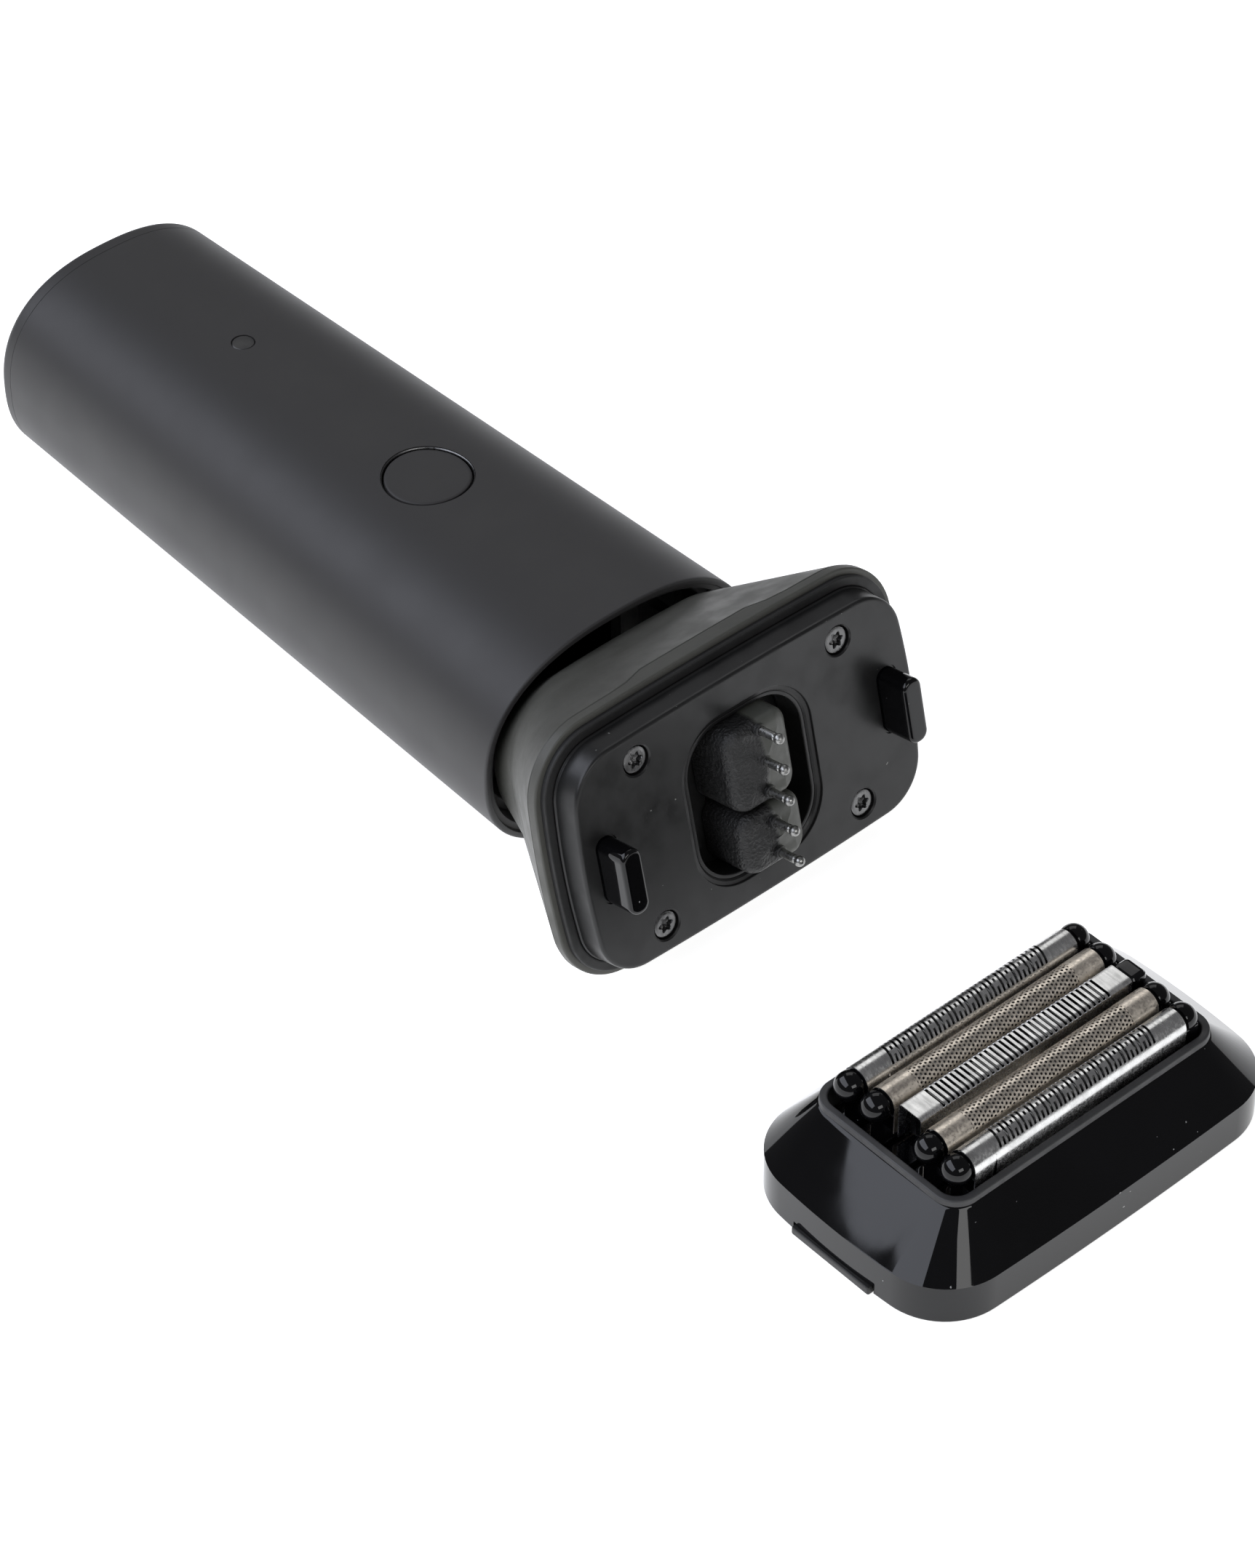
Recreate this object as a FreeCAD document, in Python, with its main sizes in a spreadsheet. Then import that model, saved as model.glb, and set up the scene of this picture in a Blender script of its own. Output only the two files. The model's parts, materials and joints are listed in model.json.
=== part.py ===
import FreeCAD, Part
import math
import os
import Sketcher
from FreeCAD import Placement, Rotation, Vector

# A foil shaver with its shaving cassette unclipped. The handle lies on its back with the
# power button up, its head looks towards -Y, and the cassette stands in front of it with its
# foils up. Millimetres, +Z up. The origin is the middle of the footprint, on the table.

X_AXIS = Vector(1, 0, 0)
Z_AXIS = Vector(0, 0, 1)
SIDES = (-1, 1)

# ---------------------------------------------------------------- driving dimensions
HANDLE_LENGTH = 112.4
MOUTH_HALF = (23.2, 17.3)          # half width and half height at the mouth of the handle
TAIL_HALF = (19.5, 16.4)           # the same at its tail
OVAL_POWER = 2.4                   # exponent of the oval: 2 is an ellipse, more is squarer
WALL = 1.8
CASSETTE_HALF = (31.0, 19.2)
ELEMENT_PITCH = 4.75               # foil to foil, and drive pin to drive pin
ELEMENTS = 5
RIM_GROWTH = 0.4                   # the head's rim stands this much outside the cassette
TAB_PROUD = 0.5                    # the release tabs stand this much outside the cassette
PLATE_INSET = 2.3                  # from the rim's edge to the plate's edge
PLATE_FRONT = 16.8                 # from the tilt axis to the front of the plate
PLATE_THICK = 4.9
HEAD_TILT = 13.2                   # degrees, nose up, against the upper stop
PIVOT_AHEAD = 10.2                 # tilt axis ahead of the mouth of the handle
PIVOT_RISE = 1.0                   # and above the handle's middle line
CASSETTE_AHEAD = 80.4              # middle of the cassette ahead of the mouth of the handle
CASSETTE_SIDEWAYS = -4.6           # middle of the cassette to the left of the handle's middle

rim_half = tuple(value + RIM_GROWTH for value in CASSETTE_HALF)
plate_half = tuple(value - PLATE_INSET for value in rim_half)

GROUPS = {
    "handle": {"long": HANDLE_LENGTH, "wall": WALL, "cap": 2.4},
    "mouth": {"wide": MOUTH_HALF[0], "tall": MOUTH_HALF[1]},
    "tail": {"wide": TAIL_HALF[0], "tall": TAIL_HALF[1]},
    "button": {"radius": 6.05, "hole": 6.5, "ring": 6.25, "deep": 3.4, "along": 39.0},
    "flange": {"radius": 6.7, "deep": 0.7},
    "stem": {"radius": 1.5, "deep": 0.9},
    "light": {"radius": 1.65, "deep": 3.2, "along": 79.5},
    "board": {"wide": 24.0, "thick": 1.2, "long": 78.0, "level": 8.8},
    "post": {"radius": 1.8, "high": 3.6},
    "screwlet": {"radius": 0.9, "long": 4.0, "head": 1.6, "cap": 0.9},
    "switch": {"wide": 6.0, "high": 2.2, "plunger": 1.4, "stroke": 0.5},
    "battery": {"radius": 7.0, "long": 50.0, "nub": 2.6, "nubhigh": 1.0},
    "deck": {"wide": 26.0, "thick": 1.6, "long": 86.0, "level": 3.6},
    "rail": {"thick": 1.6, "high": 14.0, "long": 58.0},
    "bulkhead": {"thick": 2.0, "back": 12.0},
    "hatch": {"wide": 11.0, "high": 8.0, "corner": 3.0},
    "arm": {"thick": 1.8, "high": 5.8, "inside": 14.3},
    "pivot": {"radius": 1.5, "bore": 1.55, "inside": 11.6},
    "inlet": {"wide": 9.0, "high": 3.3, "deep": 7.8, "sheet": 0.35},
    "tongue": {"wide": 6.6, "high": 0.7, "deep": 5.5},
    "inletboard": {"wide": 14.0, "high": 10.0, "thick": 1.0},
    "collar": {"thick": 1.4, "long": 5.0, "back": 4.0},
    "plate": {"wide": plate_half[0], "high": plate_half[1], "thick": PLATE_THICK},
    "well": {"wide": 10.4, "high": 12.0, "corner": 7.0, "wall": 0.6, "deep": 5.4, "floor": 0.8},
    "platescrew": {"head": 2.1, "cap": 1.3, "radius": 1.0, "long": 6.2, "socket": 0.8, "seat": 1.6},
    "lug": {"wide": 3.2, "high": 9.8, "tall": 5.2, "corner": 0.8},
    "frame": {"wide": 46.0, "high": 29.0, "thick": 1.6},
    "cheek": {"thick": 2.2, "high": 9.0, "deep": 12.1},
    "core": {"wide": 23.2, "high": 11.0, "base": 4.0, "leg": 4.0, "rise": 6.0},
    "coil": {"wide": 15.2, "high": 18.0, "deep": 5.2, "slotwide": 4.4, "slothigh": 11.4},
    "armature": {"wide": 20.0, "deep": 5.0},
    "bridge": {"wide": 5.2, "deep": 9.3},
    "magnet": {"wide": 5.0, "deep": 0.6},
    "boot": {"wide": 5.4, "corner": 2.4, "edge": 19.3, "ridge": 20.7, "foot": 11.8},
    "pin": {"radius": 0.6, "ball": 0.75, "reach": 7.9},
    "band": {"high": 6.1},
    "lip": {"wide": 23.2, "high": 13.0, "corner": 3.4, "thick": 0.9},
    "sleeve": {"wide": 22.75, "high": 12.6, "corner": 3.0, "wall": 0.55, "foot": 6.9},
    "base": {"wide": 27.7, "high": 16.3, "corner": 7.0, "thick": 1.6, "level": 5.3},
    "window": {"wide": 9.5, "high": 13.0, "corner": 4.0},
    "foil": {"radius": 2.1, "sheet": 0.3, "half": 18.4, "axis": 16.3, "skirt": 12.2},
    "carrier": {"half": 20.9, "thick": 1.0, "level": 10.4, "slot": 3.6, "width": 3.8},
    "cutter": {"half": 16.8, "radius": 1.55, "foot": 12.6, "stem": 2.4, "bore": 0.7},
    "guard": {"half": 2.0, "top": 18.2},
    "spring": {"radius": 1.2, "wire": 0.26, "pitch": 1.0, "spread": 13.0},
    "tab": {"long": 14.0, "thick": 1.3, "deep": 2.4, "proud": TAB_PROUD},
}

doc = FreeCAD.newDocument("FoilShaver")
sheet = doc.addObject("Spreadsheet::Sheet", "Sizes")
row = 0
for group, values in GROUPS.items():
    for name, value in values.items():
        row += 1
        alias = group + "_" + name
        sheet.set("A%d" % row, alias)
        sheet.set("B%d" % row, str(value))
        sheet.setAlias("B%d" % row, alias)
doc.recompute()

nodes = []


def size(alias):
    """A length from the sheet."""
    return float(sheet.get(alias))


def bind(thing, **properties):
    """Tie properties to cells: each value is a cell's alias or a formula of aliases."""
    for name, formula in properties.items():
        words = [w if not w[0].isalpha() else "Sizes." + w for w in formula.split()]
        thing.setExpression(name, " ".join(words))


def keep(thing, label, frame):
    """Name a finished sub-part and put it in its place."""
    thing.Label = label
    thing.Placement = frame.multiply(thing.Placement)
    nodes.append(thing)
    return thing


# ---------------------------------------------------------------- frames
upright = Rotation(X_AXIS, 90)
middle_x = -(CASSETTE_SIDEWAYS + RIM_GROWTH - TAB_PROUD) / 2
mouth_y = (CASSETTE_AHEAD + CASSETTE_HALF[1] - HANDLE_LENGTH) / 2
pivot_point = Vector(middle_x, mouth_y - PIVOT_AHEAD, MOUTH_HALF[1] + PIVOT_RISE)
# In the handle's and the head's frames +Z points out of the head and +Y is up.
HANDLE = Placement(Vector(middle_x, mouth_y, MOUTH_HALF[1]), upright)
HEAD = Placement(pivot_point, Rotation(X_AXIS, 90 - HEAD_TILT))
CASSETTE = Placement(
    Vector(middle_x + CASSETTE_SIDEWAYS, mouth_y - CASSETTE_AHEAD, 0), Rotation()
)


# ---------------------------------------------------------------- outlines and solids
def oval(half_x, half_y, z, centre_y, points=32):
    """A closed oval wire, squarer than an ellipse."""
    ring = []
    for k in range(points):
        c = math.cos(2 * math.pi * k / points)
        s = math.sin(2 * math.pi * k / points)
        x = half_x * math.copysign(abs(c) ** (2 / OVAL_POWER), c)
        y = half_y * math.copysign(abs(s) ** (2 / OVAL_POWER), s)
        ring.append(Vector(x, y + centre_y, z))
    curve = Part.BSplineCurve()
    curve.interpolate(Points=ring, PeriodicFlag=True)
    return Part.Wire(curve.toShape())


def handle_section(z, inset=0.0):
    """The handle's outline, z ahead of its mouth, drawn in by inset; its back stays level."""
    t = -z / size("handle_long")
    half_x = size("mouth_wide") + (size("tail_wide") - size("mouth_wide")) * t
    half_y = size("mouth_tall") + (size("tail_tall") - size("mouth_tall")) * t
    return oval(half_x - inset, half_y - inset, z, half_y - size("mouth_tall"))


def handle_solid(*stations):
    """A solid through the handle's outline at each (z, inset)."""
    return Part.makeLoft([handle_section(z, inset) for z, inset in stations], True, True)


def crowned(half_x, half_y, corner, crown_x, crown_y, z=0.0):
    """A rectangle with bowed sides and tangent corner arcs, as one closed wire."""
    big_x = (half_y**2 + crown_x**2) / (2 * crown_x)
    big_y = (half_x**2 + crown_y**2) / (2 * crown_y)
    from_x, from_y = half_x - big_x, half_y - big_y     # centres of the right and top arcs
    reach_x, reach_y = big_x - corner, big_y - corner
    span = math.hypot(from_x, from_y)
    along = (reach_x**2 - reach_y**2 + span**2) / (2 * span)
    off = math.sqrt(reach_x**2 - along**2)
    ux, uy = -from_x / span, from_y / span
    cx = from_x + along * ux - off * uy
    cy = along * uy + off * ux
    if cx < 0 or cy < 0:
        cx, cy = from_x + along * ux + off * uy, along * uy - off * ux
    turn_x = math.atan2(cy, cx - from_x)                # where the right arc meets the corner
    turn_y = math.atan2(cy - from_y, cx)                # where the top arc meets the corner

    def arc(x, y, radius, start, end):
        spots = [start, (start + end) / 2, end]
        found = [Vector(x + radius * math.cos(a), y + radius * math.sin(a), z) for a in spots]
        return Part.Arc(*found).toShape()

    half_turn = math.pi
    edges = [
        arc(from_x, 0, big_x, -turn_x, turn_x),
        arc(cx, cy, corner, turn_x, turn_y),
        arc(0, from_y, big_y, turn_y, half_turn - turn_y),
        arc(-cx, cy, corner, half_turn - turn_y, half_turn - turn_x),
        arc(-from_x, 0, big_x, half_turn - turn_x, half_turn + turn_x),
        arc(-cx, -cy, corner, half_turn + turn_x, half_turn + turn_y),
        arc(0, -from_y, big_y, half_turn + turn_y, 2 * half_turn - turn_y),
        arc(cx, -cy, corner, -turn_y, -turn_x),
    ]
    return Part.Wire(edges)


def crowned_solid(*stations):
    """A solid through crowned outlines given as (z, half_x, half_y, corner, crowns)."""
    wires = [crowned(x, y, corner, *crowns, z) for z, x, y, corner, crowns in stations]
    return Part.makeLoft(wires, True, True)


def rounded_prism(half_x, half_y, corner, low, high):
    """A block with round upright edges, centred on the frame's Z axis."""
    block = Part.makeBox(2 * half_x, 2 * half_y, high - low, Vector(-half_x, -half_y, low))
    upright_edges = [e for e in block.Edges if abs(e.tangentAt(0).z) > 0.9]
    return block.makeFillet(corner, upright_edges)


def feature(label, shape, frame):
    """A sub-part whose shape is worked out here."""
    thing = doc.addObject("Part::Feature", label)
    thing.Shape = shape
    return keep(thing, label, frame)


def form(name, shape):
    """A helper shape for booleans."""
    thing = doc.addObject("Part::Feature", name)
    thing.Shape = shape
    return thing


def primitive(kind, name, at, axis=None, **properties):
    """A bound Part primitive at a point, its own Z turned to axis."""
    thing = doc.addObject("Part::" + kind, name)
    bind(thing, **properties)
    turn = Rotation() if axis is None else Rotation(Z_AXIS, axis)
    thing.Placement = Placement(Vector(*at), turn)
    return thing


def joined(name, *things):
    """The union of several shapes."""
    thing = doc.addObject("Part::MultiFuse", name)
    thing.Shapes = list(things)
    return thing


def cut(name, base, *tools):
    """A shape with others taken out of it."""
    thing = doc.addObject("Part::Cut", name)
    thing.Base = base
    thing.Tool = tools[0] if len(tools) == 1 else joined(name + "_tools", *tools)
    return thing


def common(name, first, second):
    """What two shapes share."""
    thing = doc.addObject("Part::Common", name)
    thing.Base = first
    thing.Tool = second
    return thing


# ---------------------------------------------------------------- PartDesign helpers
def new_body(label):
    return doc.addObject("PartDesign::Body", label)


def new_sketch(body, role, name, offset=None):
    """A sketch on one of the body's own origin planes."""
    sketch = body.newObject("Sketcher::SketchObject", name)
    plane = [f for f in body.Origin.OriginFeatures if f.Role == role][0]
    sketch.AttachmentSupport = [(plane, "")]
    sketch.MapMode = "FlatFace"
    if offset:
        bind(sketch, **{"AttachmentOffset.Base.z": offset})
    return sketch


def datum(sketch, formula, kind, *where):
    """A constraint whose value follows the sheet."""
    index = sketch.addConstraint(Sketcher.Constraint(kind, *where))
    bind(sketch, **{"Constraints[%d]" % index: formula})


def draw_circle(sketch, alias, x=0.0, y=0.0):
    radius = size(alias)
    index = sketch.addGeometry(Part.Circle(Vector(x, y, 0), Z_AXIS, radius))
    datum(sketch, alias, "Radius", index, radius)
    if x or y:
        sketch.addConstraint(Sketcher.Constraint("DistanceX", -1, 1, index, 3, x))
        sketch.addConstraint(Sketcher.Constraint("DistanceY", -1, 1, index, 3, y))
    else:
        sketch.addConstraint(Sketcher.Constraint("Coincident", index, 3, -1, 1))


def draw_rectangle(sketch, wide, high):
    """A rectangle centred on the sketch's origin, by its full width and height."""
    a, b = size(wide) / 2, size(high) / 2
    corners = [Vector(-a, -b, 0), Vector(a, -b, 0), Vector(a, b, 0), Vector(-a, b, 0)]
    for k in range(4):
        sketch.addGeometry(Part.LineSegment(corners[k], corners[(k + 1) % 4]))
    for k in range(4):
        sketch.addConstraint(Sketcher.Constraint("Coincident", k, 2, (k + 1) % 4, 1))
        lie = "Horizontal" if k % 2 == 0 else "Vertical"
        sketch.addConstraint(Sketcher.Constraint(lie, k))
    sketch.addConstraint(Sketcher.Constraint("Symmetric", 0, 1, 2, 1, -1, 1))
    datum(sketch, wide, "DistanceX", 0, 1, 0, 2, 2 * a)
    datum(sketch, high, "DistanceY", 1, 1, 1, 2, 2 * b)


def pad(body, sketch, name, length):
    thing = body.newObject("PartDesign::Pad", name)
    thing.Profile = sketch
    bind(thing, Length=length)
    return thing


def pocket(body, sketch, name, depth):
    """A pocket, checked to have taken something away."""
    doc.recompute()
    before = body.Shape.Volume
    thing = body.newObject("PartDesign::Pocket", name)
    thing.Profile = sketch
    thing.Reversed = True
    bind(thing, Length=depth)
    doc.recompute()
    if body.Shape.Volume > before - 0.01:
        raise RuntimeError(name + " cut nothing")
    return thing


# ---------------------------------------------------------------- handle
def at_depth(along, inset=0.0):
    """The height of the handle's upper surface at a distance back from the mouth."""
    t = along / size("handle_long")
    drop = size("mouth_tall") - size("tail_tall")
    return size("mouth_tall") - 2 * drop * t - inset


def build_shell():
    cap_joint = -size("handle_long") + size("handle_cap")
    outside = form("shell_outside", handle_solid((0, 0), (cap_joint, 0)))
    inside = form("shell_inside", handle_solid((0.5, WALL), (cap_joint - 0.5, WALL)))
    holes = []
    for name, alias in (("button", "button_hole"), ("light", "light_radius")):
        spot = (0, 0, -size(name + "_along"))
        holes.append(
            primitive("Cylinder", name + "_way", spot, Vector(0, 1, 0),
                      Radius=alias, Height="handle_long")
        )
    keep(cut("handle_shell", outside, inside, *holes), "handle_shell", HANDLE)


def build_tail_cap():
    end = -size("handle_long")
    joint = end + size("handle_cap")
    dome = handle_solid((joint, 0), (end + 1.0, 0.5), (end, 1.8))
    spigot = handle_solid((joint, WALL + 0.1), (joint + 4, WALL + 0.1))
    hollow = handle_solid((joint, WALL + 1.7), (joint + 5, WALL + 1.7))
    ring = spigot.cut(hollow)
    solid = form("cap_solid", dome.fuse(ring).removeSplitter())
    mouth = rounded_prism(size("inlet_wide") / 2 + 0.3, size("inlet_high") / 2 + 0.3, 1.5,
                          end - 1, joint + 1)
    mouth.translate(Vector(0, inlet_level(), 0))
    keep(cut("tail_cap", solid, form("cap_mouth", mouth)), "tail_cap", HANDLE)


def inlet_level():
    return size("tail_tall") - size("mouth_tall")


def build_inlet():
    end = -size("handle_long") + 0.5
    deep = size("inlet_deep")
    half_x, half_y, sheet_thick = size("inlet_wide") / 2, size("inlet_high") / 2, size("inlet_sheet")
    tube = rounded_prism(half_x, half_y, 1.5, end, end + deep)
    tube = tube.cut(rounded_prism(half_x - sheet_thick, half_y - sheet_thick, 1.2,
                                  end - 1, end + deep - sheet_thick))
    tube.translate(Vector(0, inlet_level(), 0))
    feature("charge_port", tube, HANDLE)
    back = end + deep
    board = new_body("charge_board")
    face = new_sketch(board, "XY_Plane", "charge_board_face")
    draw_rectangle(face, "inletboard_wide", "inletboard_high")
    pad(board, face, "charge_board_pad", "inletboard_thick")
    board.Placement = Placement(Vector(0, inlet_level(), back), Rotation())
    keep(board, "charge_board", HANDLE)
    tongue = new_body("charge_tongue")
    face = new_sketch(tongue, "XY_Plane", "charge_tongue_face")
    draw_rectangle(face, "tongue_wide", "tongue_high")
    pad(tongue, face, "charge_tongue_pad", "tongue_deep")
    depth = back - sheet_thick - size("tongue_deep")
    tongue.Placement = Placement(Vector(0, inlet_level(), depth), Rotation())
    keep(tongue, "charge_tongue", HANDLE)


def build_collar():
    back, long, thick = size("collar_back"), size("collar_long"), size("collar_thick")
    ring = handle_solid((-back, WALL), (-back - long, WALL))
    hollow = handle_solid((-back + 1, WALL + thick), (-back - long - 1, WALL + thick))
    feature("mouth_collar", ring.cut(hollow), HANDLE)


def build_bulkhead():
    """The inner wall behind the mouth, with two arms that carry the tilt pins."""
    back, thick = size("bulkhead_back"), size("bulkhead_thick")
    wall = handle_solid((-back, WALL), (-back - thick, WALL))
    hatch = rounded_prism(size("hatch_wide"), size("hatch_high"), size("hatch_corner"),
                          -back - thick - 1, -back + 1)
    solid = wall.cut(hatch)
    inside, arm_thick, high = size("arm_inside"), size("arm_thick"), size("arm_high")
    for side in SIDES:
        low = side * inside if side > 0 else -inside - arm_thick
        arm = Part.makeBox(arm_thick, high, back + PIVOT_AHEAD,
                           Vector(low, PIVOT_RISE - high / 2, -back))
        knuckle = Part.makeCylinder(high / 2, arm_thick,
                                    Vector(low, PIVOT_RISE, PIVOT_AHEAD), X_AXIS)
        eye = Part.makeCylinder(size("pivot_radius"), arm_thick + 2,
                                Vector(low - 1, PIVOT_RISE, PIVOT_AHEAD), X_AXIS)
        solid = solid.fuse(arm.fuse(knuckle).cut(eye))
    feature("front_bulkhead", solid.removeSplitter(), HANDLE)


def build_pivot_pins():
    pins = []
    inside = size("pivot_inside")
    reach = size("arm_inside") + size("arm_thick") - inside
    for side in SIDES:
        start = inside if side > 0 else -inside - reach
        pin = primitive("Cylinder", "pivot_pin_%d" % (side + 1),
                        (start, PIVOT_RISE, PIVOT_AHEAD), X_AXIS, Radius="pivot_radius",
                        Height="arm_inside + arm_thick - pivot_inside")
        pins.append(pin)
    pair = doc.addObject("Part::Compound", "pivot_pins")
    pair.Links = pins
    keep(pair, "pivot_pins", HANDLE)


POST_X = 9.0
POST_Z = (-28.0, -60.0, -92.0)
BATTERY_END = -89.0


def post_spots():
    return [(side * POST_X, z) for side in SIDES for z in POST_Z]


def build_chassis():
    """The deck that holds the battery below it and the board above it."""
    front = size("bulkhead_back") + size("bulkhead_thick")
    deck = primitive("Box", "deck_plate", (-size("deck_wide") / 2, size("deck_level"),
                                           -front - size("deck_long")),
                     Length="deck_wide", Width="deck_thick", Height="deck_long")
    pieces = [deck]
    for side in SIDES:
        inner = size("battery_radius") + 0.3
        low = inner if side > 0 else -inner - size("rail_thick")
        pieces.append(primitive("Box", "rail_%d" % (side + 1),
                                (low, size("deck_level") - size("rail_high"), POST_Z[-1]),
                                Length="rail_thick", Width="rail_high", Height="rail_long"))
    top = size("deck_level") + size("deck_thick")
    up = Vector(0, 1, 0)
    for k, (x, z) in enumerate(post_spots()):
        pieces.append(primitive("Cylinder", "post_%d" % k, (x, top, z), up,
                                Radius="post_radius", Height="post_high"))
    bores = [primitive("Cylinder", "post_bore_%d" % k, (x, size("board_level") - 2.8, z), up,
                       Radius="screwlet_radius", Height="screwlet_long")
             for k, (x, z) in enumerate(post_spots())]
    keep(cut("inner_frame", joined("chassis_solid", *pieces), *bores), "inner_frame", HANDLE)


def build_board():
    board = new_body("circuit_board")
    face = new_sketch(board, "XZ_Plane", "circuit_board_face")
    draw_rectangle(face, "board_wide", "board_long")
    pad(board, face, "circuit_board_pad", "board_thick")
    holes = new_sketch(board, "XZ_Plane", "circuit_board_holes")
    middle = (POST_Z[0] + POST_Z[-1]) / 2
    for x, z in post_spots():
        draw_circle(holes, "screwlet_radius", x, z - middle)
    pocket(board, holes, "circuit_board_bores", "board_thick")
    board.Placement = Placement(Vector(0, size("board_level") + size("board_thick"), middle),
                                Rotation())
    keep(board, "circuit_board", HANDLE)
    screws = []
    top = size("board_level") + size("board_thick")
    up = Vector(0, 1, 0)
    for k, (x, z) in enumerate(post_spots()):
        shank = primitive("Cylinder", "board_shank_%d" % k, (x, top - 3.9, z), up,
                          Radius="screwlet_radius", Height="screwlet_long - 0.1")
        head = primitive("Cylinder", "board_head_%d" % k, (x, top, z), up,
                         Radius="screwlet_head", Height="screwlet_cap")
        screws.append(joined("board_screw_%d" % k, shank, head))
    group = doc.addObject("Part::Compound", "board_screws")
    group.Links = screws
    keep(group, "board_screws", HANDLE)


def build_switch():
    level = size("board_level") + size("board_thick")
    spot = -size("button_along")
    half = size("switch_wide") / 2
    box = primitive("Box", "switch_case", (-half, level, spot - half), Length="switch_wide",
                    Width="switch_high", Height="switch_wide")
    plunger = primitive("Cylinder", "switch_plunger", (0, level + size("switch_high"), spot),
                        Vector(0, 1, 0), Radius="switch_plunger", Height="switch_stroke")
    keep(joined("tact_switch", box, plunger), "tact_switch", HANDLE)


def build_battery():
    """A single round cell with its raised contact."""
    cell = new_body("battery")
    face = new_sketch(cell, "XY_Plane", "battery_face")
    draw_circle(face, "battery_radius")
    pad(cell, face, "battery_can", "battery_long")
    nub = new_sketch(cell, "XY_Plane", "battery_nub_face", "battery_long")
    draw_circle(nub, "battery_nub")
    pad(cell, nub, "battery_nub_pad", "battery_nubhigh")
    rest = size("deck_level") - size("battery_radius") - 0.2
    cell.Placement = Placement(Vector(0, rest, BATTERY_END), Rotation())
    keep(cell, "battery", HANDLE)


def build_button():
    """Cap, trim ring and light pipe follow the handle's curved surface."""
    up = Vector(0, 1, 0)
    spot = -size("button_along")
    top = at_depth(size("button_along"))
    low = top - 0.1 - size("button_deep")
    flush = handle_solid((0, 0.12), (-size("handle_long") + 3, 0.12))
    skin = form("button_skin", flush)
    cap = primitive("Cylinder", "button_cap", (0, low + size("flange_deep"), spot), up,
                    Radius="button_radius", Height="button_deep")
    flange = primitive("Cylinder", "button_flange", (0, low, spot), up,
                       Radius="flange_radius", Height="flange_deep")
    shaped = common("button_shaped", skin, cap)
    keep(joined("power_button", shaped, flange), "power_button", HANDLE)
    outer = primitive("Cylinder", "ring_outer", (0, top - 1.6, spot), up,
                      Radius="button_hole", Height="button_deep")
    inner = primitive("Cylinder", "ring_inner", (0, top - 3.0, spot), up,
                      Radius="button_ring", Height="button_deep + flange_deep")
    skin_again = form("ring_skin", handle_solid((0, 0.0), (-size("handle_long") + 3, 0.0)))
    ring = common("ring_shaped", skin_again, cut("ring_tube", outer, inner))
    keep(ring, "button_ring", HANDLE)
    light_top = at_depth(size("light_along"))
    rod = primitive("Cylinder", "light_rod", (0, light_top - size("light_deep"),
                                              -size("light_along")), up,
                    Radius="light_radius", Height="light_deep + flange_deep")
    pipe_skin = form("light_skin", handle_solid((0, 0.0), (-size("handle_long") + 3, 0.0)))
    keep(common("light_pipe", pipe_skin, rod), "light_pipe", HANDLE)


# ---------------------------------------------------------------- head
RIM_CORNER = 10.0
RIM_CROWNS = (1.4, 0.6)
LEDGE = PLATE_FRONT - PLATE_THICK
RIM_BAND = 1.6
BOWL = (27.9, 16.1, 7.0, RIM_CROWNS)              # the space behind the plate
BOWL_DEEP = 2.9
WAIST = (-6.0, 21.9, 14.8, 11.5, (1.0, 0.9))      # the neck where it passes the mouth
WAIST_INNER = (-6.0, 20.3, 13.2, 9.9, (1.0, 0.9))
STUB = (-13.0, 19.6, 9.8, 8.5, (0.6, 0.8))        # its end inside the handle
STUB_INNER = (-13.5, 18.0, 8.2, 5.5, (0.6, 0.8))
PLATE_CORNER = 7.4


def build_head_housing():
    """The flared neck: a wide rim that narrows to an oval stub inside the handle's mouth."""
    wide, high = rim_half
    outside = crowned_solid(
        (LEDGE, wide, high, RIM_CORNER, RIM_CROWNS),
        (LEDGE - RIM_BAND, wide, high, RIM_CORNER, RIM_CROWNS),
        WAIST,
        STUB,
    )
    inside = crowned_solid((LEDGE + 0.5, *BOWL), (LEDGE - BOWL_DEEP, *BOWL), WAIST_INNER,
                           STUB_INNER)
    feature("head_housing", outside.cut(inside), HEAD)


def plate_outline(grow, low, high):
    """The plate's rounded outline as a block, grown outwards."""
    outline = (plate_half[0] + grow, plate_half[1] + grow, PLATE_CORNER + grow, RIM_CROWNS)
    return crowned_solid((low, *outline), (high, *outline))


SCREW_X, SCREW_Y = 17.5, 12.8
LUG_X = 24.6
GASKET_WIDE, GASKET_THICK = 1.4, 0.8
WELL_SHIFT = Vector(0, -0.6, 0)
WELL_GATE = (4.2, 10.6, 1.0)                      # where the drive passes the well's floor
FRAME_GATE = (5.2, 10.9, 1.0)                     # and the frame: half sides and corner


def screw_spots():
    return [(i * SCREW_X, j * SCREW_Y) for i in SIDES for j in SIDES]


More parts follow.
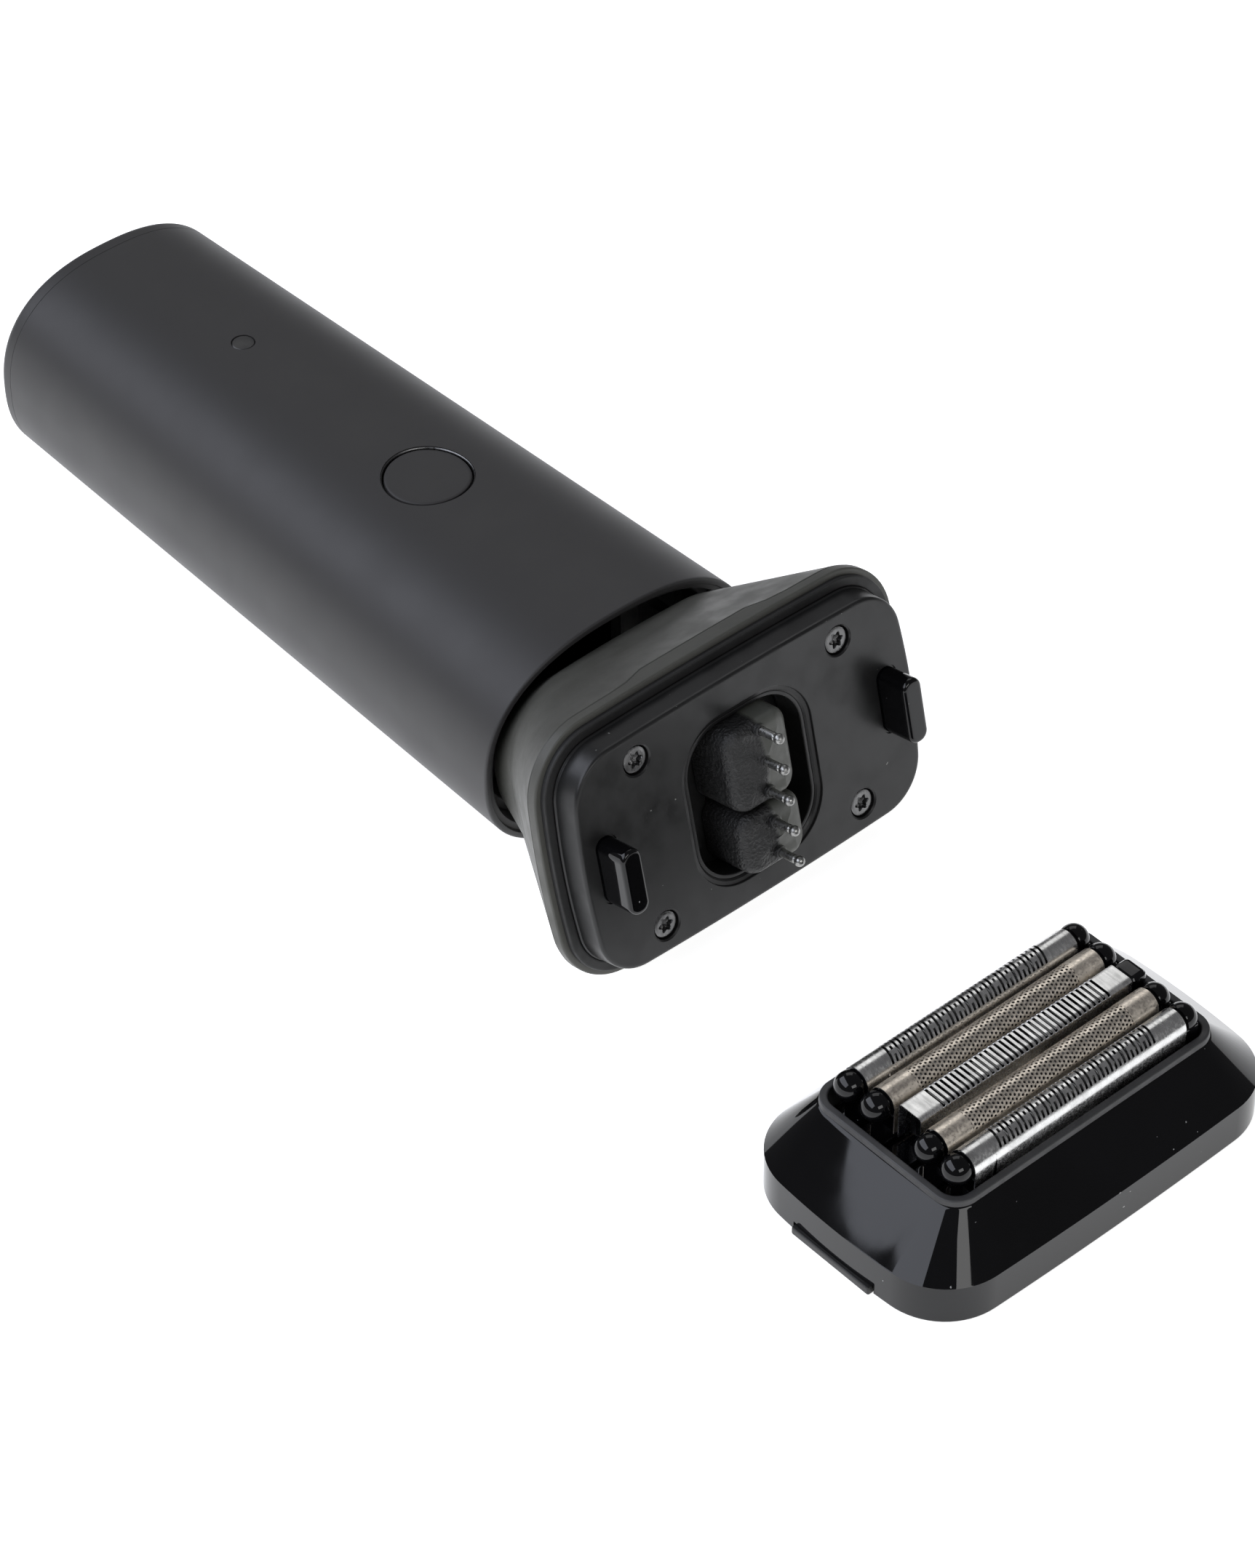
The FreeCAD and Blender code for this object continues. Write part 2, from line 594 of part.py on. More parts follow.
def build_head_plate():
    solid = plate_outline(0, LEDGE, PLATE_FRONT)
    front_edges = [e for e in solid.Edges if abs(e.BoundBox.ZMin - PLATE_FRONT) < 0.01]
    solid = solid.makeFillet(0.6, front_edges)
    well = rounded_prism(size("well_wide"), size("well_high"), size("well_corner"),
                         LEDGE - 1, PLATE_FRONT + 1)
    well.translate(WELL_SHIFT)
    tools = [form("plate_well", well)]
    seat = PLATE_FRONT - size("platescrew_seat")
    for k, (x, y) in enumerate(screw_spots()):
        tools.append(primitive("Cylinder", "plate_bore_%d" % k, (x, y, LEDGE - 1),
                               Radius="platescrew_radius", Height="plate_thick + 1"))
        tools.append(primitive("Cylinder", "plate_seat_%d" % k, (x, y, seat),
                               Radius="platescrew_head", Height="plate_thick"))
    keep(cut("head_plate", form("plate_solid", solid), *tools), "head_plate", HEAD)
    ring = plate_outline(GASKET_WIDE, LEDGE, LEDGE + GASKET_THICK)
    ring = ring.cut(plate_outline(0, LEDGE - 1, LEDGE + 2))
    feature("rim_gasket", ring, HEAD)


def build_well():
    wide, high = size("well_wide"), size("well_high")
    wall, corner = size("well_wall"), size("well_corner")
    top = PLATE_FRONT - 0.6
    low = top - size("well_deep")
    cup = rounded_prism(wide, high, corner, low, top)
    cup = cup.cut(rounded_prism(wide - wall, high - wall, corner - wall,
                                low + size("well_floor"), top + 1))
    cup.translate(WELL_SHIFT)
    cup = cup.cut(rounded_prism(*WELL_GATE, low - 1, low + 2))
    feature("drive_well", cup, HEAD)


def build_plate_screws():
    """Four recessed socket screws that hold the plate to the frame behind it."""
    screws = []
    for k, (x, y) in enumerate(screw_spots()):
        top = PLATE_FRONT - 0.3
        shoulder = top - size("platescrew_cap")
        shank = primitive("Cylinder", "plate_shank_%d" % k,
                          (x, y, shoulder - size("platescrew_long")),
                          Radius="platescrew_radius", Height="platescrew_long")
        head = primitive("Cylinder", "plate_head_%d" % k, (x, y, shoulder),
                         Radius="platescrew_head", Height="platescrew_cap")
        socket = primitive("Cylinder", "plate_socket_%d" % k, (x, y, top - 0.8),
                           Radius="platescrew_socket", Height="platescrew_cap")
        screws.append(cut("plate_screw_%d" % k, joined("plate_bolt_%d" % k, shank, head), socket))
    group = doc.addObject("Part::Compound", "plate_screws")
    group.Links = screws
    keep(group, "plate_screws", HEAD)


def build_lugs():
    """Two blocks beside the plate's ends that the cassette drops over."""
    lug = new_body("lug_right")
    face = new_sketch(lug, "XY_Plane", "lug_face")
    draw_rectangle(face, "lug_wide", "lug_high")
    block = pad(lug, face, "lug_pad", "lug_tall")
    doc.recompute()
    edges = ["Edge%d" % (k + 1) for k, e in enumerate(block.Shape.Edges)
             if e.BoundBox.ZMax > size("lug_tall") - 0.01]
    round_off = lug.newObject("PartDesign::Fillet", "lug_round")
    round_off.Base = (block, edges)
    bind(round_off, Radius="lug_corner")
    doc.recompute()
    pair = doc.addObject("Part::Compound", "locating_lugs")
    copies = []
    for side in SIDES:
        copy = form("lug_copy_%d" % (side + 1), lug.Shape)
        copy.Placement = Placement(Vector(side * LUG_X, 0, PLATE_FRONT), Rotation())
        copies.append(copy)
    pair.Links = copies
    keep(pair, "locating_lugs", HEAD)


def build_head_frame():
    """The carrier behind the plate, with the two cheeks that turn on the tilt pins."""
    top = LEDGE - 1.7
    thick = size("frame_thick")
    plate = primitive("Box", "frame_plate",
                      (-size("frame_wide") / 2, -size("frame_high") / 2, top - thick),
                      Length="frame_wide", Width="frame_high", Height="frame_thick")
    pieces, holes = [plate], []
    for side in SIDES:
        inner = size("pivot_inside")
        low = inner if side > 0 else -inner - size("cheek_thick")
        pieces.append(primitive("Box", "cheek_%d" % (side + 1),
                                (low, -size("cheek_high") / 2, top - thick - size("cheek_deep")),
                                Length="cheek_thick", Width="cheek_high", Height="cheek_deep"))
        holes.append(primitive("Cylinder", "cheek_bore_%d" % (side + 1), (low - 1, 0, 0), X_AXIS,
                               Radius="pivot_bore", Height="cheek_thick + 2"))
    holes.append(form("frame_window", rounded_prism(*FRAME_GATE, top - thick - 1, top + 1)))
    for k, (x, y) in enumerate(screw_spots()):
        holes.append(primitive("Cylinder", "frame_bore_%d" % k, (x, y, top - thick - 1),
                               Radius="platescrew_radius", Height="frame_thick + 2"))
    keep(cut("head_frame", joined("frame_solid", *pieces), *holes), "head_frame", HEAD)


MOTOR_BACK = -8.0
ARMATURE_BACK = 3.2
DRIVE_REACH = 10.3                                # half width of the two armatures together
AIR_GAP = 0.4
MAGNET_X = 4.0


def build_motor():
    """A linear motor: a fixed three-legged core with its coil, behind two sliding armatures."""
    wide, high, leg = size("core_wide"), size("core_high"), size("core_leg")
    low = MOTOR_BACK
    pieces = [primitive("Box", "core_base", (-wide / 2, -high / 2, low), Length="core_wide",
                        Width="core_high", Height="core_base")]
    for k in (-1, 0, 1):
        start = k * (wide - leg) / 2 - leg / 2
        pieces.append(primitive("Box", "core_leg_%d" % (k + 1),
                                (start, -high / 2, low + size("core_base")),
                                Length="core_leg", Width="core_high", Height="core_rise"))
    keep(joined("motor_core", *pieces), "motor_core", HEAD)
    coil = new_body("motor_coil")
    face = new_sketch(coil, "XY_Plane", "coil_face")
    draw_rectangle(face, "coil_wide", "coil_high")
    pad(coil, face, "coil_pad", "coil_deep")
    hole = new_sketch(coil, "XY_Plane", "coil_hole")
    draw_rectangle(hole, "coil_slotwide", "coil_slothigh")
    pocket(coil, hole, "coil_window", "coil_deep")
    coil.Placement = Placement(Vector(0, 0, low + size("core_base") + 0.2), Rotation())
    keep(coil, "motor_coil", HEAD)


# Each drive half: name, its lower and upper edge, and the rows of pins that it carries.
DRIVES = (("upper", -1.9, 10.5, (2, 1, 0)), ("lower", -11.6, -2.5, (-1, -2)))


def build_drive(name, low, high, rows):
    """One oscillating half of the drive: armature, magnets, rubber boot and steel pins."""
    near = max(low + AIR_GAP, -DRIVE_REACH)
    far = min(high - AIR_GAP, DRIVE_REACH)
    base = ARMATURE_BACK
    deep = size("armature_deep")
    block = Part.makeBox(size("armature_wide"), far - near, deep,
                         Vector(-size("armature_wide") / 2, near, base))
    half = size("bridge_wide") / 2
    bridge = Part.makeBox(2 * half, far - near, size("bridge_deep"),
                          Vector(-half, near, base + deep))
    feature("armature_" + name, block.fuse(bridge).removeSplitter(), HEAD)

    magnets = []
    for side in SIDES:
        x = MAGNET_X if side > 0 else -MAGNET_X - size("magnet_wide")
        magnets.append(Part.makeBox(size("magnet_wide"), far - near - 1, size("magnet_deep"),
                                    Vector(x, near + 0.5, base - size("magnet_deep"))))
    feature("magnets_" + name, Part.makeCompound(magnets), HEAD)

    wide, edge, ridge = size("boot_wide"), size("boot_edge"), size("boot_ridge")
    foot = size("boot_foot")
    gable = Part.makePolygon([Vector(-wide, low, foot), Vector(wide, low, foot),
                              Vector(wide, low, edge), Vector(0, low, ridge),
                              Vector(-wide, low, edge), Vector(-wide, low, foot)])
    roof = Part.Face(gable).extrude(Vector(0, high - low, 0))
    block = rounded_prism(wide, (high - low) / 2, size("boot_corner"), foot - 1, ridge + 1)
    block.translate(Vector(0, (low + high) / 2, 0))
    top = base + deep + size("bridge_deep")
    socket = Part.makeBox(2 * half, far - near, top - foot + 1, Vector(-half, near, foot - 1))
    boot = roof.common(block).cut(socket)
    pins = []
    for number in rows:
        y = number * ELEMENT_PITCH
        radius, ball = size("pin_radius"), size("pin_ball")
        tip = PLATE_FRONT + size("pin_reach")
        shaft = Part.makeCylinder(radius, tip - ball - top, Vector(0, y, top))
        boot = boot.cut(shaft)
        pins.append(shaft.fuse(Part.makeSphere(ball, Vector(0, y, tip - ball))))
    feature("drive_boot_" + name, boot, HEAD)
    feature("drive_pins_" + name, Part.makeCompound(pins), HEAD)


# ---------------------------------------------------------------- cassette
SLOPE_TOP = 13.7
TOP_HALF = (23.5, 13.3)
SIDE_CROWNS = (1.38, 0.62)
TOP_CROWNS = (0.2, 0.15)
TOP_HOLE = (22.9, 12.75, 3.1, (0.08, 0.08))
BAND_CORNER, TOP_CORNER = 9.65, 3.6
RIM_DEEP = 1.2                     # the opening is upright over this depth
SKIRT = 1.35
SKIRT_CORNER = 8.3


def build_cassette_housing():
    wide, high = CASSETTE_HALF
    band = size("band_high")
    outside = crowned_solid(
        (0, wide, high, BAND_CORNER, SIDE_CROWNS),
        (band, wide, high, BAND_CORNER, SIDE_CROWNS),
        (SLOPE_TOP, *TOP_HALF, TOP_CORNER, TOP_CROWNS),
    )
    level = size("base_level")
    cavity = (wide - SKIRT, high - SKIRT, SKIRT_CORNER, SIDE_CROWNS)
    step = (wide - SKIRT - 0.25, high - SKIRT - 0.25, SKIRT_CORNER - 0.3, SIDE_CROWNS)
    inside = crowned_solid((-1, *cavity), (level, *cavity), (level + 0.2, *step),
                           (SLOPE_TOP - RIM_DEEP, *TOP_HOLE), (SLOPE_TOP + 0.5, *TOP_HOLE))
    housing = form("housing_solid", outside.cut(inside))
    keep(cut("cassette_housing", housing, *tab_boxes("notch")), "cassette_housing", CASSETTE)


def tab_boxes(name):
    boxes = []
    for side in SIDES:
        start = CASSETTE_HALF[0] + size("tab_proud") - size("tab_deep")
        low = start if side > 0 else -start - size("tab_deep")
        boxes.append(primitive("Box", "%s_%d" % (name, side + 1),
                               (low, -size("tab_long") / 2, 0), Length="tab_deep",
                               Width="tab_long", Height="tab_thick"))
    return boxes


def build_tabs():
    pair = doc.addObject("Part::Compound", "release_tabs")
    pair.Links = tab_boxes("tab")
    keep(pair, "release_tabs", CASSETTE)


EAR_X, EAR_Y = 24.0, 9.0
EAR_LONG, EAR_WIDE, EAR_THICK = 3.6, 3.6, 1.8


def ear_spots():
    return [(i * EAR_X, j * EAR_Y) for i in SIDES for j in SIDES]


def build_foil_frame():
    """The matt frame round the foils, with four ears that are screwed to the base."""
    foot = size("sleeve_foot")
    lip = rounded_prism(size("lip_wide"), size("lip_high"), size("lip_corner"), SLOPE_TOP,
                        SLOPE_TOP + size("lip_thick"))
    sleeve = rounded_prism(size("sleeve_wide"), size("sleeve_high"), size("sleeve_corner"), foot,
                           SLOPE_TOP)
    wall = size("sleeve_wall")
    opening = rounded_prism(size("sleeve_wide") - wall, size("sleeve_high") - wall,
                            size("sleeve_corner") - wall, foot - 1, SLOPE_TOP + 3)
    solid = lip.fuse(sleeve)
    for x, y in ear_spots():
        corner = Vector(x - EAR_LONG / 2, y - EAR_WIDE / 2, foot)
        solid = solid.fuse(Part.makeBox(EAR_LONG, EAR_WIDE, EAR_THICK, corner))
    solid = solid.cut(opening)
    for x, y in ear_spots():
        solid = solid.cut(Part.makeCylinder(size("screwlet_radius"), 1.6, Vector(x, y, foot)))
    feature("foil_frame", solid.removeSplitter(), CASSETTE)


def build_base():
    """The inner floor of the cassette, with room for the drive and the two lugs."""
    level, thick = size("base_level"), size("base_thick")
    floor = rounded_prism(size("base_wide"), size("base_high"), size("base_corner"), level,
                          level + thick)
    tools = [form("base_window", rounded_prism(size("window_wide"), size("window_high"),
                                               size("window_corner"), level - 1, level + 3))]
    for side in SIDES:
        slot = rounded_prism(2.0, 5.4, 0.8, level - 1, level + 3)
        slot.translate(Vector(side * LUG_X, 0, 0))
        tools.append(form("lug_slot_%d" % (side + 1), slot))
    for k, (x, y) in enumerate(ear_spots()):
        tools.append(primitive("Cylinder", "base_bore_%d" % k, (x, y, level - 1),
                               Radius="screwlet_radius", Height="base_thick + 2"))
        tools.append(primitive("Cylinder", "base_seat_%d" % k, (x, y, level - 1),
                               Radius="screwlet_head", Height="screwlet_cap + 1"))
    keep(cut("base_frame", form("base_solid", floor), *tools), "base_frame", CASSETTE)
    screws = []
    for k, (x, y) in enumerate(ear_spots()):
        head = primitive("Cylinder", "base_head_%d" % k, (x, y, level),
                         Radius="screwlet_head", Height="screwlet_cap")
        shank = primitive("Cylinder", "base_shank_%d" % k, (x, y, level + size("screwlet_cap")),
                          Radius="screwlet_radius", Height="base_thick + 1.5 - screwlet_cap")
        screws.append(joined("base_screw_%d" % k, head, shank))
    group = doc.addObject("Part::Compound", "cassette_screws")
    group.Links = screws
    keep(group, "cassette_screws", CASSETTE)


def arch(radius, skirt, half):
    """A bar with a round top along X: a cylinder on the foil axis with straight sides below."""
    axis = size("foil_axis")
    bar = Part.makeCylinder(radius, 2 * half, Vector(-half, 0, axis), X_AXIS)
    block = Part.makeBox(2 * half, 2 * radius, axis - skirt, Vector(-half, -radius, skirt))
    return bar.fuse(block).removeSplitter()


def slab(half_x, half_y, low, high):
    return Part.makeBox(2 * half_x, 2 * half_y, high - low, Vector(-half_x, -half_y, low))


# Rows from the rear to the front: what the foil is called, and whether it is the flat trimmer.
ROWS = (("outer_foil_rear", False), ("mesh_foil_rear", False), ("trimmer_guard", True),
        ("mesh_foil_front", False), ("outer_foil_front", False))


def build_element(number, foil_name, flat):
    """One floating shaving element: foil, carrier with end caps, cutter and two springs."""
    place = CASSETTE.multiply(Placement(Vector(0, (2 - number) * ELEMENT_PITCH, 0), Rotation()))
    radius, thin = size("foil_radius"), size("foil_sheet")
    half, skirt, axis = size("foil_half"), size("foil_skirt"), size("foil_axis")
    if flat:
        width, top = size("guard_half"), size("guard_top")
        foil = slab(half, width, skirt, top)
        foil = foil.cut(slab(half + 1, width - thin, skirt - 1, top - thin))
        cutter = slab(size("cutter_half"), width - thin - 0.25, size("cutter_foot"),
                      top - thin - 0.25)
    else:
        foil = arch(radius, skirt, half).cut(arch(radius - thin, skirt - 1, half + 1))
        cutter = arch(size("cutter_radius"), size("cutter_foot"), size("cutter_half"))
    feature(foil_name, foil, place)

    level, thick = size("carrier_level"), size("carrier_thick")
    end = size("carrier_half")
    carrier = slab(end, size("carrier_width") / 2, level, level + thick)
    for side in SIDES:
        if flat:
            cap = slab((end - half) / 2 + 0.3, width - 0.05, level, top - 0.2)
            cap = cap.makeFillet(0.5, [e for e in cap.Edges if e.BoundBox.ZMin > top - 1])
            cap.translate(Vector(side * ((half + end) / 2 + 0.3), 0, 0))
        else:
            post = slab((end - half) / 2, radius, level, axis)
            post.translate(Vector(side * (half + end) / 2, 0, 0))
            start = half if side > 0 else -half - 1.2
            barrel = Part.makeCylinder(radius, 1.2, Vector(start, 0, axis), X_AXIS)
            nose = Part.makeSphere(radius, Vector(side * (half + 1.2), 0, axis))
            beyond = Part.makeBox(half + 5, 6, 6, Vector(0 if side > 0 else -half - 5, -3, axis - 3))
            nose = nose.common(beyond).cut(slab(half, 3, axis - 3, axis + 3))
            cap = post.fuse(barrel).fuse(nose)
        carrier = carrier.fuse(cap)
    stem = size("cutter_stem")
    carrier = carrier.cut(slab(size("carrier_slot"), 1.35, level - 1, level + thick + 0.5))
    feature("foil_carrier_%d" % (number + 1), carrier.removeSplitter(), place)

    cutter = cutter.fuse(slab(stem, 1.3, level, size("cutter_foot")))
    cutter = cutter.cut(Part.makeCylinder(size("cutter_bore"), 3.8, Vector(0, 0, level)))
    feature("cutter_%d" % (number + 1), cutter.removeSplitter(), place)

    springs = []
    low = size("base_level") + size("base_thick") + size("spring_wire") + 0.02
    high = level - size("spring_wire") - 0.02
    wire_circle = Part.makeCircle(size("spring_wire"), Vector(size("spring_radius"), 0, 0),
                                  Vector(0, 1, 0))
    helix = Part.makeHelix(size("spring_pitch"), high - low, size("spring_radius"))
    for side in SIDES:
        coil = Part.Wire(helix).makePipeShell([Part.Wire(wire_circle)], True, True)
        coil.translate(Vector(side * size("spring_spread"), 0, low))
        springs.append(coil)
    feature("float_springs_%d" % (number + 1), Part.makeCompound(springs), place)


# ---------------------------------------------------------------- build, check and write
build_shell()
build_tail_cap()
build_inlet()
build_collar()
build_bulkhead()
build_pivot_pins()
build_chassis()
build_board()
build_switch()
build_battery()
build_button()
build_head_housing()
build_head_plate()
build_well()
build_plate_screws()
build_lugs()
build_head_frame()
build_motor()
for drive in DRIVES:
    build_drive(*drive)
build_cassette_housing()
build_tabs()
build_foil_frame()
build_base()
for number, (foil_name, flat) in enumerate(ROWS):
    build_element(number, foil_name, flat)

doc.recompute()
for thing in doc.Objects:
    if "Invalid" in thing.State or "Error" in thing.State:
        raise RuntimeError("%s failed: %s" % (thing.Name, thing.State))
os.makedirs("parts", exist_ok=True)
for thing in nodes:
    if thing.Shape.isNull() or not thing.Shape.isValid():
        raise RuntimeError(thing.Label + " has no valid shape")
for thing in nodes:
    thing.Shape.exportStep("parts/%s.step" % thing.Label)
    box = thing.Shape.BoundBox
    print("%-20s %2d solids  x %7.2f %7.2f  y %7.2f %7.2f  z %6.2f %6.2f" % (
        thing.Label, len(thing.Shape.Solids), box.XMin, box.XMax, box.YMin, box.YMax,
        box.ZMin, box.ZMax))
print(len(nodes), "sub-parts")
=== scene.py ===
import json
import math

import bmesh
import bpy
from bpy.props import FloatProperty, FloatVectorProperty, IntProperty, PointerProperty
from mathutils import Matrix, Vector

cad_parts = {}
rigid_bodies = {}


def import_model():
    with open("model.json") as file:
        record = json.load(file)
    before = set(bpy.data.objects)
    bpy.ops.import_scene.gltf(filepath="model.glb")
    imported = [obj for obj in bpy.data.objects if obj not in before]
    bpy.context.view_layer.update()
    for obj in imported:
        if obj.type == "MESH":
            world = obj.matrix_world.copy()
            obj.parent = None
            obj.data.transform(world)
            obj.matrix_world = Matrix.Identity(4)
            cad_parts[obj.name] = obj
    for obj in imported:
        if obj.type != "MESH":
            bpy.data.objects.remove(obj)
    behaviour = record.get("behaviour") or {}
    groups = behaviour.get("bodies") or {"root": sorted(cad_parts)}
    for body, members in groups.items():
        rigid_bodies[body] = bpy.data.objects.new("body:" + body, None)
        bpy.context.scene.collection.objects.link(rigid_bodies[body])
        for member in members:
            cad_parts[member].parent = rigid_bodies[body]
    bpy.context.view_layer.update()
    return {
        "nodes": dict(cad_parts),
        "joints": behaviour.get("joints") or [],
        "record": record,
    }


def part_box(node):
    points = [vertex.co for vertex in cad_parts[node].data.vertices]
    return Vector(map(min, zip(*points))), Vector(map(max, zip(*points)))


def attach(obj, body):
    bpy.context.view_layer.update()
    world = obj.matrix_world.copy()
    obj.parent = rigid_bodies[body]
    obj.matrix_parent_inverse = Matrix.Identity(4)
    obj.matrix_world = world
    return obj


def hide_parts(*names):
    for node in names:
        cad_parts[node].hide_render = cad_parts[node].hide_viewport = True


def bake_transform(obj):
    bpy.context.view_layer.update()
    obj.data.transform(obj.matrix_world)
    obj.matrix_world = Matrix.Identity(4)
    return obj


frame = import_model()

bl_info = {
    "name": "Foil Shaver",
    "version": (1, 0, 0),
    "blender": (4, 5, 0),
    "location": "View3D > Sidebar > Shaver",
    "description": "Builds the visible pieces of a cordless foil shaver round its packed frame",
    "category": "Add Mesh",
}

MM = 0.001
SIDES = (-1, 1)

# ---------------------------------------------------------------- places, from the frame
# In the handle's and the head's own frames +Z points out of the head and +Y is up; all
# three frames are in millimetres.
tilt_joint = next(joint for joint in frame["joints"] if joint["name"] == "head_tilt")
millimetres = Matrix.Scale(MM, 4)
shell_low, shell_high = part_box("handle_shell")
housing_low, housing_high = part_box("cassette_housing")
HANDLE = (
    Matrix.Translation(((shell_low.x + shell_high.x) / 2, shell_low.y, shell_high.z / 2))
    @ Matrix.Rotation(math.pi / 2, 4, "X")
    @ millimetres
)
HEAD = (
    Matrix.Translation(tilt_joint["pos_m"])
    @ Matrix.Rotation(math.pi / 2 - tilt_joint["springref"], 4, "X")
    @ millimetres
)
CASSETTE = (
    Matrix.Translation(
        ((housing_low.x + housing_high.x) / 2, (housing_low.y + housing_high.y) / 2, 0)
    )
    @ millimetres
)


def local_spots(node, place):
    """A CAD node's vertices in one of the frames above, in millimetres."""
    back = place.inverted()
    return [back @ vertex.co for vertex in frame["nodes"][node].data.vertices]


def local_box(node, place):
    """The lowest and highest corners of a CAD node in one of the frames above."""
    spots = local_spots(node, place)
    low = Vector([min(spot[k] for spot in spots) for k in range(3)])
    high = Vector([max(spot[k] for spot in spots) for k in range(3)])
    return low, high


def half_size(node, place):
    low, high = local_box(node, place)
    return (high - low) / 2


mouth = half_size("handle_shell", HANDLE)
tail = half_size("tail_cap", HANDLE)
tail_end = local_box("tail_cap", HANDLE)[0].z
seam_z = local_box("handle_shell", HANDLE)[0].z
plate_low, plate_high = local_box("head_plate", HEAD)
rim = half_size("head_housing", HEAD)
stub_end = local_box("head_housing", HEAD)[0].z
housing = half_size("cassette_housing", CASSETTE)
frame_top = local_box("foil_frame", CASSETTE)[1].z
slope_top = local_box("cassette_housing", CASSETTE)[1].z
button = local_box("power_button", HANDLE)
light = local_box("light_pipe", HANDLE)
lug_high = local_box("locating_lugs", HEAD)[1]
lug_inner = min(spot.x for spot in local_spots("locating_lugs", HEAD) if spot.x > 0)
pin_tip = local_box("drive_pins_upper", HEAD)[1].z
ELEMENT_PITCH = (
    local_box("outer_foil_rear", CASSETTE)[1].y - local_box("mesh_foil_rear", CASSETTE)[1].y
)


# ---------------------------------------------------------------- sizes and colours
def length(name, description, default, low=0.0):
    """A length in millimetres that a user may change."""
    return FloatProperty(name=name, description=description + ", in mm", default=default,
                         min=low, precision=2)


def colour(name, description, default):
    return FloatVectorProperty(
        name=name, description=description, default=default, subtype="COLOR", size=3,
        min=0.0, max=1.0,
    )


def angle(name, description, degrees):
    return FloatProperty(
        name=name, description=description, default=math.radians(degrees), subtype="ANGLE"
    )


class ShaverHandleSizes(bpy.types.PropertyGroup):
    wall: length("Wall", "Thickness of the grip's wall", 1.8, 0.5)
    power: FloatProperty(
        name="Oval power", description="Exponent of the grip's oval outline; 2 is an ellipse",
        default=2.4, min=2.0, max=6.0,
    )
    lip: length("Lip", "Depth of the step inside the mouth", 0.7)
    button_radius: length("Button radius", "Radius of the power button's cap", 6.05)
    button_sink: length("Button sink", "How far the button lies below the grip", 0.16)
    ring_radius: length("Ring radius", "Inner radius of the button's ring", 6.25)
    hole_radius: length("Hole radius", "Radius of the button's hole", 6.5)
    light_radius: length("Light radius", "Radius of the charging light", 1.65)


class ShaverHeadSizes(bpy.types.PropertyGroup):
    rim_band: length("Rim band", "Height of the neck's rim", 1.6)
    rim_corner: length("Rim corner", "Corner radius of the rim", 10.0)
    plate_corner: length("Plate corner", "Corner radius of the plate", 7.4)
    well_corner: length("Well corner", "Corner radius of the drive well", 7.0)
    screw_radius: length("Screw radius", "Radius of a plate screw's head", 1.95)
    pin_radius: length("Pin radius", "Radius of a drive pin", 0.6)
    ball_radius: length("Ball radius", "Radius of a drive pin's ball", 0.75)


class ShaverCassetteSizes(bpy.types.PropertyGroup):
    band: length("Band", "Height of the upright band round the cassette", 6.1)
    foil_radius: length("Foil radius", "Radius of a round foil", 2.1)
    foil_half: length("Foil half length", "Half the length of a foil", 18.4)
    slotted_half: length("Slotted half", "Half the length that is slotted", 14.0)
    sheet: length("Sheet", "Thickness of a foil's sheet", 0.14)
    slot_pitch: length("Slot pitch", "Distance from slot to slot", 0.74)
    guard_pitch: length("Guard pitch", "Distance from slot to slot in the trimmer", 0.84)
    mesh_pitch: length("Mesh pitch", "Distance from hole to hole in a mesh foil", 0.62)
    mesh_bar: FloatProperty(
        name="Mesh hole", description="Size of a mesh hole as a share of its cell",
        default=0.56, min=0.1, max=0.9,
    )
    blade_count: IntProperty(
        name="Blades", description="Blades in one inner cutter", default=37, min=2, max=80
    )


class ShaverColours(bpy.types.PropertyGroup):
    grip: colour("Grip", "Soft-touch coat of the handle", (0.024, 0.023, 0.023))
    neck: colour("Neck", "Matte plastic of the neck", (0.062, 0.062, 0.054))
    plate: colour("Plate", "Satin plastic of the head's plate", (0.010, 0.010, 0.010))
    gloss: colour("Gloss", "High-gloss plastic of the cassette", (0.002, 0.002, 0.0024))
    steel: colour("Steel", "Polished steel of the foils", (0.72, 0.72, 0.71))
    mesh: colour("Mesh", "Warm plating of the mesh foils", (0.88, 0.80, 0.69))
    floor: colour("Floor", "Pale floor", (0.92, 0.92, 0.91))


class ShaverStageSizes(bpy.types.PropertyGroup):
    azimuth: angle("Azimuth", "Camera's turn round the shaver from its front", -41.12)
    elevation: angle("Elevation", "Camera's height above the floor", 42.56)
    roll: angle("Roll", "Camera's turn about its own axis", -0.41)
    distance: FloatProperty(
        name="Distance", description="From the camera to the point it looks at",
        default=0.70, subtype="DISTANCE",
    )
    lens: FloatProperty(name="Lens", description="Focal length, in mm", default=117.65)


# ---------------------------------------------------------------- outlines, in millimetres
SIDE_STEPS, CORNER_STEPS = 14, 16
# A rounded corner takes at most this share of a stretch; a ring this far past it keeps the
# flat's shading flat, where the stretch is this many times longer.
LONGEST_SHARE, GUARD, GUARD_ROOM = 0.49, 0.12, 2.2
SHARPEST = 0.05


def arc(x, y, radius, start, end, steps):
    """Points on an arc, without its last one."""
    turns = [start + (end - start) * k / steps for k in range(steps)]
    return [(x + radius * math.cos(a), y + radius * math.sin(a)) for a in turns]


def circle(radius, steps):
    return arc(0, 0, radius, 0, math.tau, steps)


